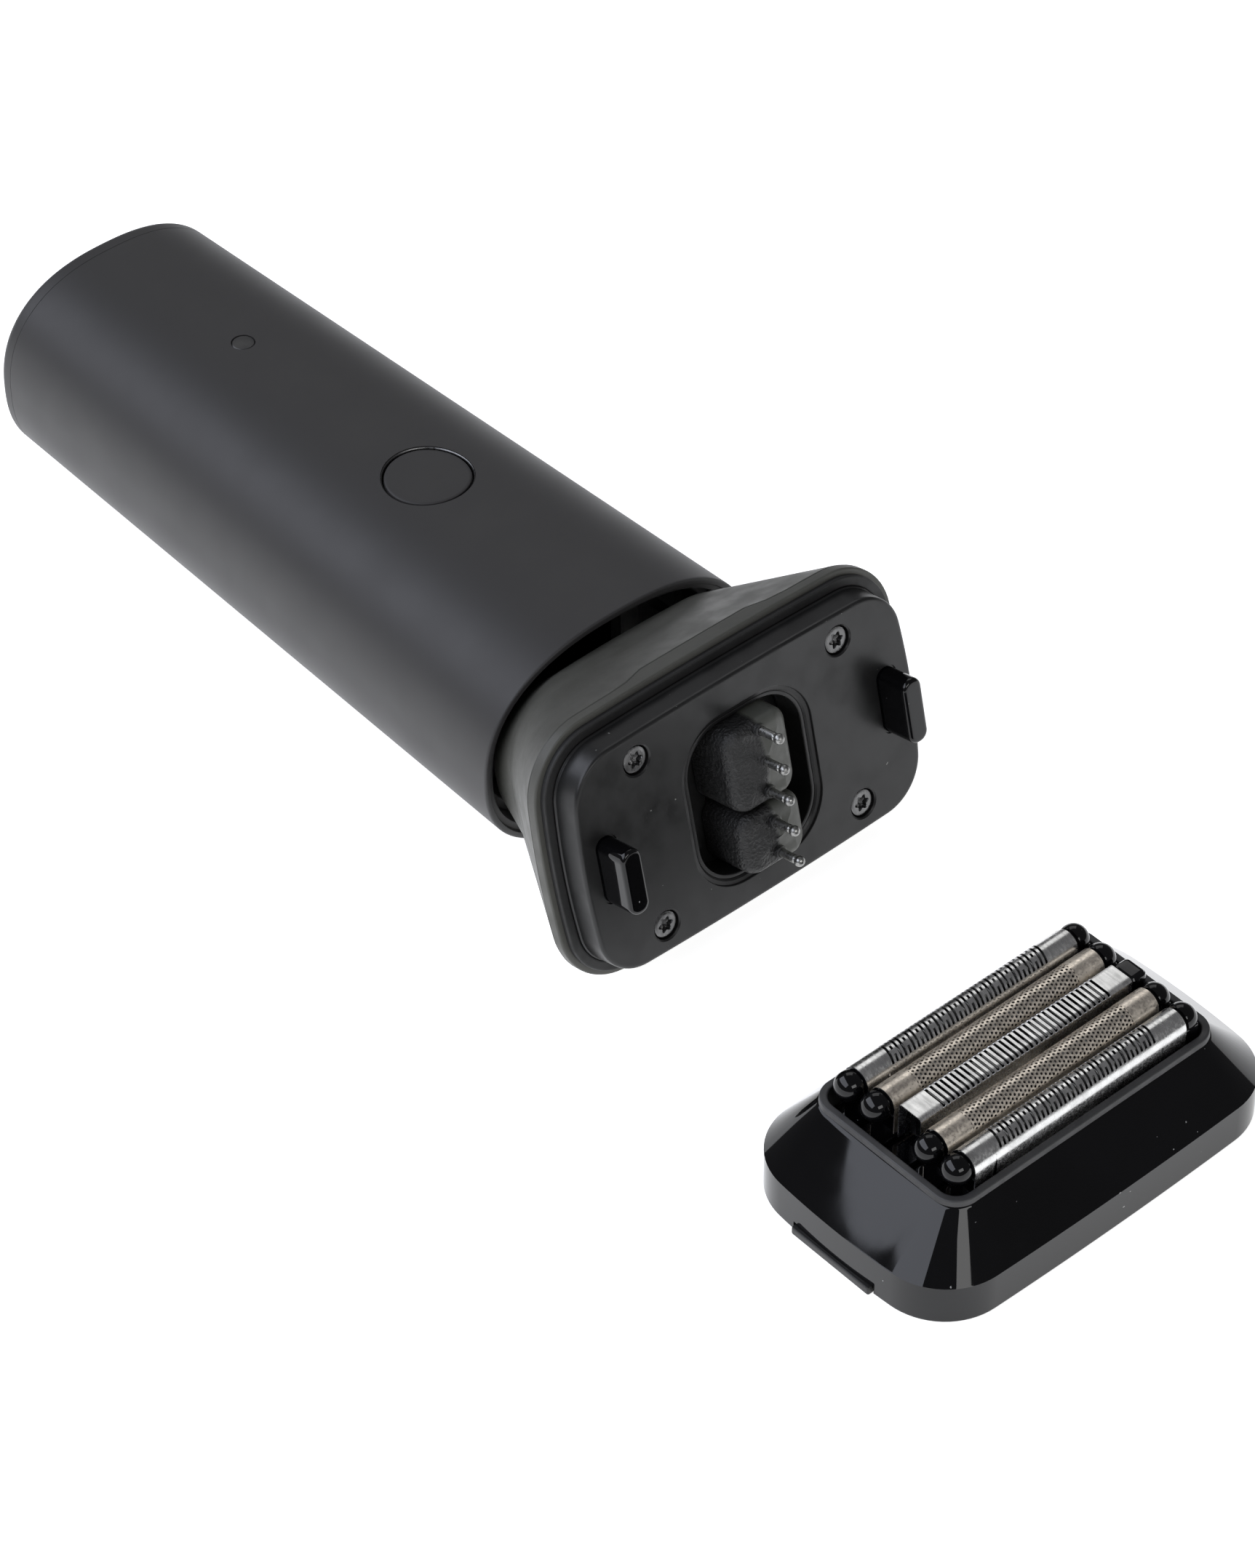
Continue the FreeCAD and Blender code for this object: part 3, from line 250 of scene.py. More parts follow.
def crowned(half_x, half_y, corner, crown_x, crown_y):
    """A rectangle with bowed sides and tangent corner arcs."""
    big_x = (half_y**2 + crown_x**2) / (2 * crown_x)
    big_y = (half_x**2 + crown_y**2) / (2 * crown_y)
    from_x, from_y = half_x - big_x, half_y - big_y
    reach_x, reach_y = big_x - corner, big_y - corner
    span = math.hypot(from_x, from_y)
    along = (reach_x**2 - reach_y**2 + span**2) / (2 * span)
    off = math.sqrt(reach_x**2 - along**2)
    ux, uy = -from_x / span, from_y / span
    cx, cy = from_x + along * ux - off * uy, along * uy + off * ux
    if cx < 0 or cy < 0:
        cx, cy = from_x + along * ux + off * uy, along * uy - off * ux
    turn_x = math.atan2(cy, cx - from_x)
    turn_y = math.atan2(cy - from_y, cx)
    half = (
        arc(from_x, 0, big_x, -turn_x, turn_x, SIDE_STEPS)
        + arc(cx, cy, corner, turn_x, turn_y, CORNER_STEPS)
        + arc(0, from_y, big_y, turn_y, math.pi - turn_y, SIDE_STEPS)
        + arc(-cx, cy, corner, math.pi - turn_y, math.pi - turn_x, CORNER_STEPS)
    )
    return half + [(-x, -y) for x, y in half]


def boxed(half_x, half_y, corner, steps=CORNER_STEPS):
    """A rectangle with round corners."""
    spots = []
    for k, (i, j) in enumerate(((1, 1), (-1, 1), (-1, -1), (1, -1))):
        start, step = k * math.pi / 2, math.pi / 2 / steps
        spots += arc(i * (half_x - corner), j * (half_y - corner), corner, start,
                     start + math.pi / 2 + step, steps + 1)
    return spots


def oval(half_x, half_y, centre_y, power, steps=160):
    """An outline squarer than an ellipse."""
    spots = []
    for k in range(steps):
        c, s = math.cos(math.tau * k / steps), math.sin(math.tau * k / steps)
        spots.append((
            half_x * math.copysign(abs(c) ** (2 / power), c),
            half_y * math.copysign(abs(s) ** (2 / power), s) + centre_y,
        ))
    return spots


def between(stations, z):
    """The sizes at z, in line between stations of (z, size, size...)."""
    ordered = sorted(stations)
    z = min(max(z, ordered[0][0]), ordered[-1][0])
    for first, second in zip(ordered, ordered[1:]):
        if z <= second[0]:
            t = (z - first[0]) / (second[0] - first[0])
            return [a + (b - a) * t for a, b in zip(first[1:], second[1:])]
    return list(ordered[-1][1:])


def rounded(path, steps=5, closed=False):
    """A path of (z, inset, radius) corners with each corner rounded off, as (z, inset)."""
    count = len(path)
    spots = []
    for k, (z, inset, radius) in enumerate(path):
        here = Vector((z, inset))
        if radius == 0 or (not closed and k in (0, count - 1)):
            spots.append((z, inset))
            continue
        before = (Vector(path[k - 1][:2]) - here)
        after = (Vector(path[(k + 1) % count][:2]) - here)
        reach = radius / math.tan(max(before.angle(after), SHARPEST) / 2)
        reach = min(reach, LONGEST_SHARE * before.length, LONGEST_SHARE * after.length)
        start, end = here + before.normalized() * reach, here + after.normalized() * reach
        guard = reach + GUARD
        if before.length > GUARD_ROOM * guard:
            spots.append(tuple(here + before.normalized() * guard))
        for step in range(steps + 1):
            t = step / steps
            spot = (1 - t) ** 2 * start + 2 * t * (1 - t) * here + t**2 * end
            spots.append((spot.x, spot.y))
        if after.length > GUARD_ROOM * guard:
            spots.append(tuple(here + after.normalized() * guard))
    return spots


# ---------------------------------------------------------------- meshes
def skin(rings, loop=False, first_cap=True, last_cap=True):
    """Faces between rings of points: a ring of rings, or a tube with flat ends."""
    count = len(rings[0])
    points = [point for ring in rings for point in ring]
    faces = []
    for row in range(len(rings) if loop else len(rings) - 1):
        a, b = row * count, (row + 1) % len(rings) * count
        faces += [(a + k, a + (k + 1) % count, b + (k + 1) % count, b + k)
                  for k in range(count)]
    if not loop and first_cap:
        faces.append(tuple(reversed(range(count))))
    if not loop and last_cap:
        faces.append(tuple(range((len(rings) - 1) * count, len(rings) * count)))
    return points, faces


def swept(outline, path, loop=True):
    """A wall, or a solid, with path as its section: outline(z, inset) is the ring at a point."""
    return skin([[(x, y, z) for x, y in outline(z, inset)] for z, inset in path], loop)


def lathe(profile, steps=32):
    """A turned piece about Z from (radius, z) points, closed at both ends."""
    return skin([[(x, y, z) for x, y in circle(radius, steps)] for radius, z in profile])


def moved(shape, matrix):
    points, faces = shape
    return [tuple(matrix @ Vector(point)) for point in points], faces


def shifted(shape, x=0, y=0, z=0):
    return moved(shape, Matrix.Translation((x, y, z)))


def together(*shapes):
    points, faces = [], []
    for more_points, more_faces in shapes:
        start = len(points)
        points += more_points
        faces += [tuple(start + k for k in face) for face in more_faces]
    return points, faces


def block(half_x, half_y, low, high, edge=0.2):
    """A block with every outer edge rounded."""
    corner = min(half_x, half_y) * 0.999 if edge >= min(half_x, half_y) else edge
    path = rounded([(low, 2 * edge, 0), (low, 0, edge), (high, 0, edge), (high, 2 * edge, 0)], 3)

    def outline(z, inset):
        inset = min(inset, 0.9 * min(half_x, half_y))
        return boxed(half_x - inset, half_y - inset, max(corner - inset, 0.02), 4)

    return swept(outline, path, False)


def make_mesh(name, shape, place):
    """A mesh in metres from points in one of the three frames, with its faces outwards."""
    points, faces = shape
    mesh = bpy.data.meshes.new(name)
    mesh.from_pydata([place @ Vector(point) for point in points], [], faces)
    work = bmesh.new()
    work.from_mesh(mesh)
    bmesh.ops.remove_doubles(work, verts=work.verts, dist=1e-6)
    bmesh.ops.dissolve_degenerate(work, edges=work.edges, dist=1e-7)
    bmesh.ops.recalc_face_normals(work, faces=work.faces)
    work.to_mesh(mesh)
    work.free()
    return mesh


def add_object(name, data):
    thing = bpy.data.objects.new(name, data)
    bpy.context.scene.collection.objects.link(thing)
    return thing


def settle(thing):
    """Turn an object's live modifiers into its plain mesh."""
    depsgraph = bpy.context.evaluated_depsgraph_get()
    mesh = bpy.data.meshes.new_from_object(thing.evaluated_get(depsgraph))
    mesh.name = thing.name
    thing.modifiers.clear()
    thing.data = mesh


SMOOTH_ANGLE = math.radians(32)


def finish_piece(thing, body, nodes, slot):
    """Shade and paint a piece, and fasten it to its body in place of its CAD nodes."""
    thing.data.materials.clear()
    thing.data.materials.append(finish(slot))
    for polygon in thing.data.polygons:
        polygon.material_index = 0
    thing.data.shade_smooth()
    thing.data.set_sharp_from_angle(angle=SMOOTH_ANGLE)
    weighted = thing.modifiers.new("weighted", "WEIGHTED_NORMAL")
    weighted.keep_sharp = True
    settle(thing)
    if body:
        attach(thing, body)
    if nodes:
        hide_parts(*nodes)


def carve(thing, place, *shapes):
    """Cut shapes out of an object."""
    for number, shape in enumerate(shapes):
        tool = add_object("tool_%d" % number, make_mesh("tool_%d" % number, shape, place))
        cut = thing.modifiers.new("cut_%d" % number, "BOOLEAN")
        cut.operation = "DIFFERENCE"
        cut.solver = "EXACT"
        cut.object = tool
    settle(thing)
    for number in range(len(shapes)):
        bpy.data.objects.remove(bpy.data.objects["tool_%d" % number])


def add_piece(name, shape, place, body, nodes, slot, cuts=()):
    """A finished piece from points in one of the three frames."""
    thing = add_object(name, make_mesh(name, shape, place))
    if cuts:
        carve(thing, place, *cuts)
    finish_piece(thing, body, nodes, slot)


# ---------------------------------------------------------------- finishes
class Finish:
    """Builds one material's nodes on Object coordinates, at scales in cells per millimetre."""

    def __init__(self, name, base, roughness, metallic=0.0):
        self.material = bpy.data.materials.new(name)
        self.material.use_nodes = True
        self.tree = self.material.node_tree
        self.shader = self.tree.nodes["Principled BSDF"]
        self.base = base
        self.set(Base_Color=(*base, 1), Roughness=roughness, Metallic=metallic)
        self.coordinates = self.tree.nodes.new("ShaderNodeTexCoord").outputs["Object"]

    def set(self, **values):
        for name, value in values.items():
            self.shader.inputs[name.replace("_", " ")].default_value = value
        return self

    def node(self, kind, inputs, **settings):
        """A node whose inputs are numbers, colours or other nodes' outputs."""
        made = self.tree.nodes.new(kind)
        for name, value in settings.items():
            setattr(made, name, value)
        for name, value in inputs.items():
            if isinstance(value, bpy.types.NodeSocket):
                self.tree.links.new(value, made.inputs[name])
            else:
                made.inputs[name].default_value = value
        return made

    def noise(self, scale, detail, stretch=(1, 1, 1)):
        mapping = self.node("ShaderNodeMapping", {"Vector": self.coordinates, "Scale": stretch})
        return self.node("ShaderNodeTexNoise", {
            "Vector": mapping.outputs["Vector"], "Scale": scale / MM, "Detail": detail,
        }).outputs["Fac"]

    def spread(self, value, low, high, start=0.35, end=0.65):
        """Map a texture's value onto a range of numbers."""
        return self.node("ShaderNodeMapRange", {
            "Value": value, "From Min": start, "From Max": end, "To Min": low, "To Max": high,
        }).outputs["Result"]

    def paint(self, share, first, second):
        """Colour the surface between two colours, either of them a node's output."""
        mix = self.node("ShaderNodeMix", {"Factor": share}, data_type="RGBA")
        sockets = [socket for socket in mix.inputs if socket.type == "RGBA"]
        for socket, colour in zip(sockets, (first, second)):
            if isinstance(colour, bpy.types.NodeSocket):
                self.tree.links.new(colour, socket)
            else:
                socket.default_value = (*colour, 1)
        self.colour = next(socket for socket in mix.outputs if socket.type == "RGBA")
        self.tree.links.new(self.colour, self.shader.inputs["Base Color"])
        return self

    def vary(self, scale, detail, darker, lighter):
        """Let the colour drift with a noise."""
        share = self.spread(self.noise(scale, detail), 0, 1)
        return self.paint(share, [c * darker for c in self.base],
                          [min(c * lighter, 1) for c in self.base])

    def dust(self, scale, tint, threshold=0.885):
        """Rare small specks of another colour, over the varied one."""
        mask = self.spread(self.noise(scale, 0), 0, 1, threshold, threshold + 0.01)
        return self.paint(mask, self.colour, tint)

    def polish(self, scale, detail, low, high, stretch=(1, 1, 1)):
        """Let the roughness drift with a noise."""
        drift = self.spread(self.noise(scale, detail, stretch), low, high)
        self.tree.links.new(drift, self.shader.inputs["Roughness"])
        return self

    def relief(self, value, depth):
        """Relief from a texture, of a depth in millimetres."""
        bump = self.node("ShaderNodeBump", {
            "Height": value, "Strength": 1.0, "Distance": depth * MM,
        })
        self.tree.links.new(bump.outputs["Normal"], self.shader.inputs["Normal"])
        return self

    def grain(self, scale, detail, depth, stretch=(1, 1, 1)):
        return self.relief(self.noise(scale, detail, stretch), depth)


def moulded(name, base, roughness=0.5, scale=5, depth=0.01):
    """Moulded plastic or rubber with a fine spark-eroded grain."""
    made = Finish(name, base, roughness).vary(0.2, 4, 0.85, 1.15)
    return made.polish(0.5, 4, roughness - 0.07, roughness + 0.07).grain(scale, 3, depth)


def metal(name, base, roughness, depth=0.002, stretch=(1, 1, 1)):
    """Metal, with its fine lines drawn out where stretch is small."""
    made = Finish(name, base, roughness, 1.0).vary(0.5, 4, 0.85, 1.1)
    made.polish(3, 3, roughness * 0.75, roughness * 1.35, stretch)
    return made.grain(6, 2, depth, stretch)


def boot_rubber(name):
    """Black rubber: grained on the left of the pins, smooth and greyer on their right."""
    made = Finish(name, (0.030, 0.030, 0.029), 0.5)
    parts = made.node("ShaderNodeSeparateXYZ", {"Vector": made.coordinates})
    middle = HEAD.translation.x
    right = made.spread(parts.outputs["X"], 0, 1, middle - 0.2 * MM, middle + 0.4 * MM)
    made.paint(right, (0.014, 0.014, 0.014), (0.075, 0.078, 0.068)).polish(0.8, 4, 0.38, 0.55)
    left = made.node("ShaderNodeMath", {0: 1.08, 1: right}, operation="SUBTRACT")
    coarse = made.node("ShaderNodeMath", {0: made.noise(2.2, 3), 1: left.outputs["Value"]},
                       operation="MULTIPLY")
    return made.relief(coarse.outputs["Value"], 0.3)


def wound_copper(name):
    """Enamelled wire wound in close turns."""
    made = Finish(name, (0.62, 0.27, 0.11), 0.3, 1.0).vary(0.6, 3, 0.85, 1.15)
    turns = made.node("ShaderNodeTexWave", {"Vector": made.coordinates, "Scale": 0.9 / MM},
                      bands_direction="DIAGONAL")
    return made.relief(turns.outputs["Fac"], 0.08)


def circuit_green(name):
    """Green solder mask with the copper tracks showing through."""
    made = Finish(name, (0.012, 0.09, 0.04), 0.3).polish(0.6, 3, 0.22, 0.4)
    tracks = made.node("ShaderNodeTexBrick", {
        "Vector": made.coordinates, "Scale": 0.35 / MM, "Mortar Size": 0.03,
        "Color1": (0.012, 0.09, 0.04, 1), "Color2": (0.014, 0.11, 0.05, 1),
        "Mortar": (0.04, 0.2, 0.08, 1),
    })
    made.tree.links.new(tracks.outputs["Color"], made.shader.inputs["Base Color"])
    return made.relief(tracks.outputs["Fac"], 0.02)


def pale_floor(name, base):
    made = Finish(name, base, 0.75).vary(0.01, 3, 0.99, 1.01).polish(0.05, 3, 0.7, 0.8)
    return made.set(Emission_Color=(1, 1, 1, 1), Emission_Strength=0.8)


finishes = {}


def finish(slot):
    """The finish for a slot, made the first time that it is asked for."""
    if slot in finishes:
        return finishes[slot]
    colours = bpy.context.scene.shaver_colours
    makers = {
        "soft_touch": lambda: Finish(slot, colours.grip, 0.52).vary(0.03, 3, 0.97, 1.03)
        .polish(0.12, 4, 0.5, 0.54).grain(9, 2, 0.006).set(Sheen_Weight=0.06, Sheen_Roughness=0.5),
        "neck_grey": lambda: Finish(slot, colours.neck, 0.5).vary(0.08, 4, 0.9, 1.12)
        .polish(0.3, 4, 0.42, 0.56).grain(7, 3, 0.008),
        "satin_black": lambda: Finish(slot, colours.plate, 0.34).vary(0.1, 4, 0.85, 1.15)
        .dust(1.7, (0.2, 0.2, 0.19)).polish(0.25, 5, 0.28, 0.42).grain(6, 2, 0.004)
        .set(Specular_IOR_Level=0.4),
        "gloss_black": lambda: Finish(slot, colours.gloss, 0.05).vary(0.1, 2, 0.8, 1.2)
        .dust(1.9, (0.3, 0.3, 0.3)).polish(0.15, 6, 0.02, 0.045).grain(0.1, 1, 0.0008)
        .set(Specular_IOR_Level=0.38),
        "cell_wrap": lambda: Finish(slot, (0.03, 0.12, 0.3), 0.25).vary(0.1, 3, 0.9, 1.1)
        .polish(0.4, 3, 0.18, 0.35).grain(0.5, 4, 0.05, (1, 0.2, 1)),
        "boot_rubber": lambda: boot_rubber(slot),
        "rubber_black": lambda: moulded(slot, (0.012, 0.012, 0.012), 0.6),
        "matt_frame": lambda: moulded(slot, (0.040, 0.040, 0.041), 0.5, 6, 0.006),
        "inner_plastic": lambda: moulded(slot, (0.05, 0.05, 0.05)),
        "white_plastic": lambda: moulded(slot, (0.6, 0.6, 0.57), 0.45),
        "light_clear": lambda: moulded(slot, (0.018, 0.018, 0.018), 0.4, 3, 0.004),
        "steel": lambda: metal(slot, (0.34, 0.34, 0.33), 0.34),
        "foil_steel": lambda: metal(slot, colours.steel, 0.24, 0.0006, (1, 0.12, 1)),
        "mesh_foil": lambda: metal(slot, colours.mesh, 0.36, 0.001),
        "dark_steel": lambda: metal(slot, (0.16, 0.16, 0.16), 0.3, stretch=(1, 1, 0.12)),
        "magnet": lambda: metal(slot, (0.5, 0.5, 0.5), 0.25),
        "copper": lambda: wound_copper(slot),
        "board_green": lambda: circuit_green(slot),
        "pale_floor": lambda: pale_floor(slot, colours.floor),
    }
    finishes[slot] = makers[slot]().material
    return finishes[slot]


# ---------------------------------------------------------------- geometry nodes
class Tree:
    """A geometry node tree with named inputs."""

    def __init__(self, name):
        self.group = bpy.data.node_groups.new(name, "GeometryNodeTree")
        self.group.interface.new_socket("Geometry", in_out="INPUT",
                                        socket_type="NodeSocketGeometry")
        self.group.interface.new_socket("Geometry", in_out="OUTPUT",
                                        socket_type="NodeSocketGeometry")
        self.entry = self.group.nodes.new("NodeGroupInput")
        self.exit = self.group.nodes.new("NodeGroupOutput")

    def input(self, name, kind="Float"):
        self.group.interface.new_socket(name, in_out="INPUT", socket_type="NodeSocket" + kind)
        return self.entry.outputs[name]

    def floats(self, *names):
        return [self.input(name) for name in names]

    def node(self, kind, inputs, **settings):
        made = self.group.nodes.new(kind)
        for name, value in settings.items():
            setattr(made, name, value)
        for name, value in inputs.items():
            self.feed(made.inputs[name], value)
        return made

    def feed(self, socket, value):
        if isinstance(value, bpy.types.NodeSocket):
            self.group.links.new(value, socket)
        else:
            socket.default_value = value

    def maths(self, operation, *values):
        made = self.node("ShaderNodeMath", {}, operation=operation)
        for socket, value in zip(made.inputs, values):
            self.feed(socket, value)
        return made.outputs["Value"]

    def position(self):
        """The X, Y and Z of each point."""
        spot = self.node("GeometryNodeInputPosition", {}).outputs["Position"]
        return self.node("ShaderNodeSeparateXYZ", {"Vector": spot}).outputs

    def placed(self, geometry, socket, **parts):
        """Set each point's Position, or its Offset, from its X, Y and Z."""
        spot = self.node("ShaderNodeCombineXYZ", parts)
        made = self.node("GeometryNodeSetPosition",
                         {"Geometry": geometry, socket: spot.outputs["Vector"]})
        return made.outputs["Geometry"]

    def copied(self, points, instance):
        made = self.node("GeometryNodeInstanceOnPoints", {"Points": points, "Instance": instance})
        return made.outputs["Instances"]

    def close(self, geometry):
        """End the tree in Realize Instances and Set Material."""
        real = self.node("GeometryNodeRealizeInstances", {"Geometry": geometry})
        painted = self.node("GeometryNodeSetMaterial", {
            "Geometry": real.outputs["Geometry"], "Material": self.input("Finish", "Material"),
        })
        self.group.links.new(painted.outputs["Geometry"], self.exit.inputs["Geometry"])
        return self.group


def run_tree(thing, group, values):
    """Add a tree to an object with its inputs set."""
    modifier = thing.modifiers.new(group.name, "NODES")
    modifier.node_group = group
    for item in group.interface.items_tree:
        if item.in_out == "INPUT" and item.name in values:
            modifier[item.identifier] = values[item.name]


def copies_tree():
    """One copy of a source object at each vertex."""
    tree = Tree("copies")
    info = tree.node("GeometryNodeObjectInfo",
                     {"Object": tree.input("Source", "Object"), "As Instance": True})
    return tree.close(tree.copied(tree.entry.outputs["Geometry"], info.outputs["Geometry"]))


def add_copies(name, shape, spots, place, slot, body, nodes=()):
    """A piece made of one shape at several spots, all in one frame, in millimetres."""
    axes = place.to_3x3().to_4x4()
    source = add_object(name + "_source", make_mesh(name + "_source", shape, axes))
    points = bpy.data.meshes.new(name)
    points.from_pydata([place @ Vector(spot) for spot in spots], [], [])
    thing = add_object(name, points)
    group = bpy.data.node_groups.get("copies") or copies_tree()
    run_tree(thing, group, {"Source": source, "Finish": finish(slot)})
    settle(thing)
    bpy.data.objects.remove(source)
    finish_piece(thing, body, nodes, slot)


def folded(tree, geometry, flat, bend):
    """Fold a flat sheet over a flat top with round edges: its Y becomes the way round."""
    maths, spot = tree.maths, tree.position()
    way = maths("ABSOLUTE", spot["Y"])
    past = maths("MAXIMUM", maths("SUBTRACT", way, flat), 0.0)
    turn = maths("MINIMUM", maths("DIVIDE", past, bend), math.pi / 2)
    quarter = maths("MULTIPLY", bend, math.pi / 2)
    below = maths("MAXIMUM", maths("SUBTRACT", past, quarter), 0.0)
    out = maths("ADD", maths("MINIMUM", way, flat), maths("MULTIPLY", bend, maths("SINE", turn)))
    height = maths("SUBTRACT", maths("MULTIPLY", bend, maths("COSINE", turn)), below)
    return tree.placed(geometry, "Position", X=spot["X"], Z=height,
                       Y=maths("MULTIPLY", out, maths("SIGN", spot["Y"])))


def slotted_tree():
    """A folded sheet with slots across it: every third one is broken into short lengths."""
    tree = Tree("slotted_sheet")
    half, around, slotted, reach, flat, bend, broken, lean, window = tree.floats(
        "Half Length", "Half Way Round", "Slotted Half", "Slot Reach", "Flat Half", "Bend",
        "Broken Every", "Lean", "Window")
    columns, rows = tree.input("Columns", "Int"), tree.input("Rows", "Int")
    maths = tree.maths
    grid = tree.node("GeometryNodeMeshGrid", {
        "Size X": maths("MULTIPLY", half, 2.0), "Size Y": maths("MULTIPLY", around, 2.0),
        "Vertices X": columns, "Vertices Y": rows,
    })
    spot = tree.position()
    cell = maths("DIVIDE", maths("MULTIPLY", half, 2.0), maths("SUBTRACT", columns, 1.0))
    number = maths("FLOOR", maths("DIVIDE", maths("ADD", spot["X"], half), cell))
    odd = maths("MODULO", number, 2.0)
    slot = maths("FLOOR", maths("DIVIDE", number, 2.0))
    is_broken = maths("COMPARE", maths("MODULO", slot, broken), 1.0, 0.1)
    way, along = maths("ABSOLUTE", spot["Y"]), maths("ABSOLUTE", spot["X"])
    inside = maths("MULTIPLY", maths("LESS_THAN", way, reach), maths("LESS_THAN", along, slotted))
    off = maths("ABSOLUTE", maths("SUBTRACT", way, maths("DIVIDE", reach, 2.6)))
    bridge = maths("LESS_THAN", off, maths("MULTIPLY", reach, 0.15))
    slit = maths("MULTIPLY", odd, maths("SUBTRACT", 1.0, maths("MULTIPLY", is_broken, bridge)))
    gone = maths("MULTIPLY", inside, maths("MAXIMUM", slit, window))
    left = tree.node("GeometryNodeDeleteGeometry", {
        "Geometry": grid.outputs["Mesh"], "Selection": maths("GREATER_THAN", gone, 0.5),
    }, domain="FACE", mode="ALL")
    leaning = maths("LESS_THAN", along, maths("ADD", slotted, cell))
    slanted = tree.placed(left.outputs["Geometry"], "Offset",
                          X=maths("MULTIPLY", maths("MULTIPLY", spot["Y"], lean), leaning))
    return tree.close(folded(tree, slanted, flat, bend))


def lattice_tree():
    """A folded sheet of six-sided holes, each one a ring of six faces."""
    tree = Tree("mesh_lattice")
    pitch, opening, bend = tree.floats("Pitch", "Opening", "Bend")
    columns, rows = tree.input("Columns", "Int"), tree.input("Rows", "Int")
    maths = tree.maths
    radius = maths("DIVIDE", pitch, math.sqrt(3))
    hexagon = tree.node("GeometryNodeMeshCircle", {"Vertices": 6, "Radius": radius},
                        fill_type="NGON")
    raised = tree.node("GeometryNodeExtrudeMesh", {
        "Mesh": hexagon.outputs["Mesh"], "Offset Scale": 0.0,
    }, mode="FACES")
    shrunk = tree.node("GeometryNodeScaleElements", {
        "Geometry": raised.outputs["Mesh"], "Selection": raised.outputs["Top"], "Scale": opening,
    })
    ring = tree.node("GeometryNodeDeleteGeometry", {
        "Geometry": shrunk.outputs["Geometry"], "Selection": raised.outputs["Top"],
    }, domain="FACE", mode="ONLY_FACE")
    step = maths("MULTIPLY", radius, 1.5)
    long = maths("MULTIPLY", step, maths("SUBTRACT", columns, 1.0))
    wide = maths("MULTIPLY", pitch, maths("SUBTRACT", rows, 1.0))
    grid = tree.node("GeometryNodeMeshGrid", {
        "Size X": long, "Size Y": wide, "Vertices X": columns, "Vertices Y": rows,
    })
    from_end = maths("ADD", tree.position()["X"], maths("DIVIDE", long, 2.0))
    column = maths("ROUND", maths("DIVIDE", from_end, step))
    shift = maths("MULTIPLY", maths("MODULO", column, 2.0), maths("DIVIDE", pitch, 2.0))
    spots = tree.placed(grid.outputs["Mesh"], "Offset", Y=shift)
    real = tree.node("GeometryNodeRealizeInstances",
                     {"Geometry": tree.copied(spots, ring.outputs["Geometry"])})
    merged = tree.node("GeometryNodeMergeByDistance", {
        "Geometry": real.outputs["Geometry"], "Distance": 0.01 * MM,
    })
    return tree.close(folded(tree, merged.outputs["Geometry"], 0.0, bend))


def spring_tree():
    """A coil of round wire, closed at its ends."""
    tree = Tree("coil_spring")
    height, radius, wire, turns = tree.floats("Height", "Radius", "Wire", "Turns")
    spiral = tree.node("GeometryNodeCurveSpiral", {
        "Resolution": 20, "Rotations": turns, "Start Radius": radius, "End Radius": radius,
        "Height": height,
    })
    section = tree.node("GeometryNodeCurvePrimitiveCircle", {"Resolution": 8, "Radius": wire})
    coil = tree.node("GeometryNodeCurveToMesh", {
        "Curve": spiral.outputs["Curve"], "Profile Curve": section.outputs["Curve"],
        "Fill Caps": True,
    })
    return tree.close(tree.copied(tree.entry.outputs["Geometry"], coil.outputs["Mesh"]))


# ---------------------------------------------------------------- handle
def handle_ring(z, inset):
    """The grip's half width, half height, middle height and power at z."""
    half_x, half_y = (mouth + (tail - mouth) * z / seam_z).xy
    power = bpy.context.scene.shaver_handle.power
    return half_x - inset, half_y - inset, half_y - mouth.y, power


def handle_outline(z, inset):
    return oval(*handle_ring(z, inset))


def surface_height(x, z):
    """How high the grip's outer surface is above its middle line."""
    half_x, half_y, centre_y, power = handle_ring(z, 0)
    return centre_y + half_y * (1 - min(abs(x) / half_x, 1) ** power) ** (1 / power)


def on_grip(centre_z, profile, steps=72):
    """Rings round a point of the grip, each (radius, depth below the surface)."""
    return [[(x, surface_height(x, centre_z + z) - depth, centre_z + z)
             for x, z in circle(radius, steps)] for radius, depth in profile]


def upright_hole(radius, centre_z):
    """A round cutter that stands on the handle's middle line."""
    turned = Matrix.Translation((0, 0, centre_z)) @ Matrix.Rotation(-math.pi / 2, 4, "X")
    return moved(lathe([(radius, 4.0), (radius, 40.0)], 96), turned)


def spaced(path, step=3.0):
    """Split a path's long stretches."""
    spots = []
    for (z, inset), (next_z, next_inset) in zip(path, path[1:] + path[:1]):
        count = max(1, int(math.hypot(next_z - z, next_inset - inset) / step))
        spots += [(z + (next_z - z) * k / count, inset + (next_inset - inset) * k / count)
                  for k in range(count)]
    return spots


TAIL_FLOOR, TAIL_SPIGOT, TAIL_WALL = 1.2, 3.9, 1.7
button_z, light_z = (button[0].z + button[1].z) / 2, (light[0].z + light[1].z) / 2


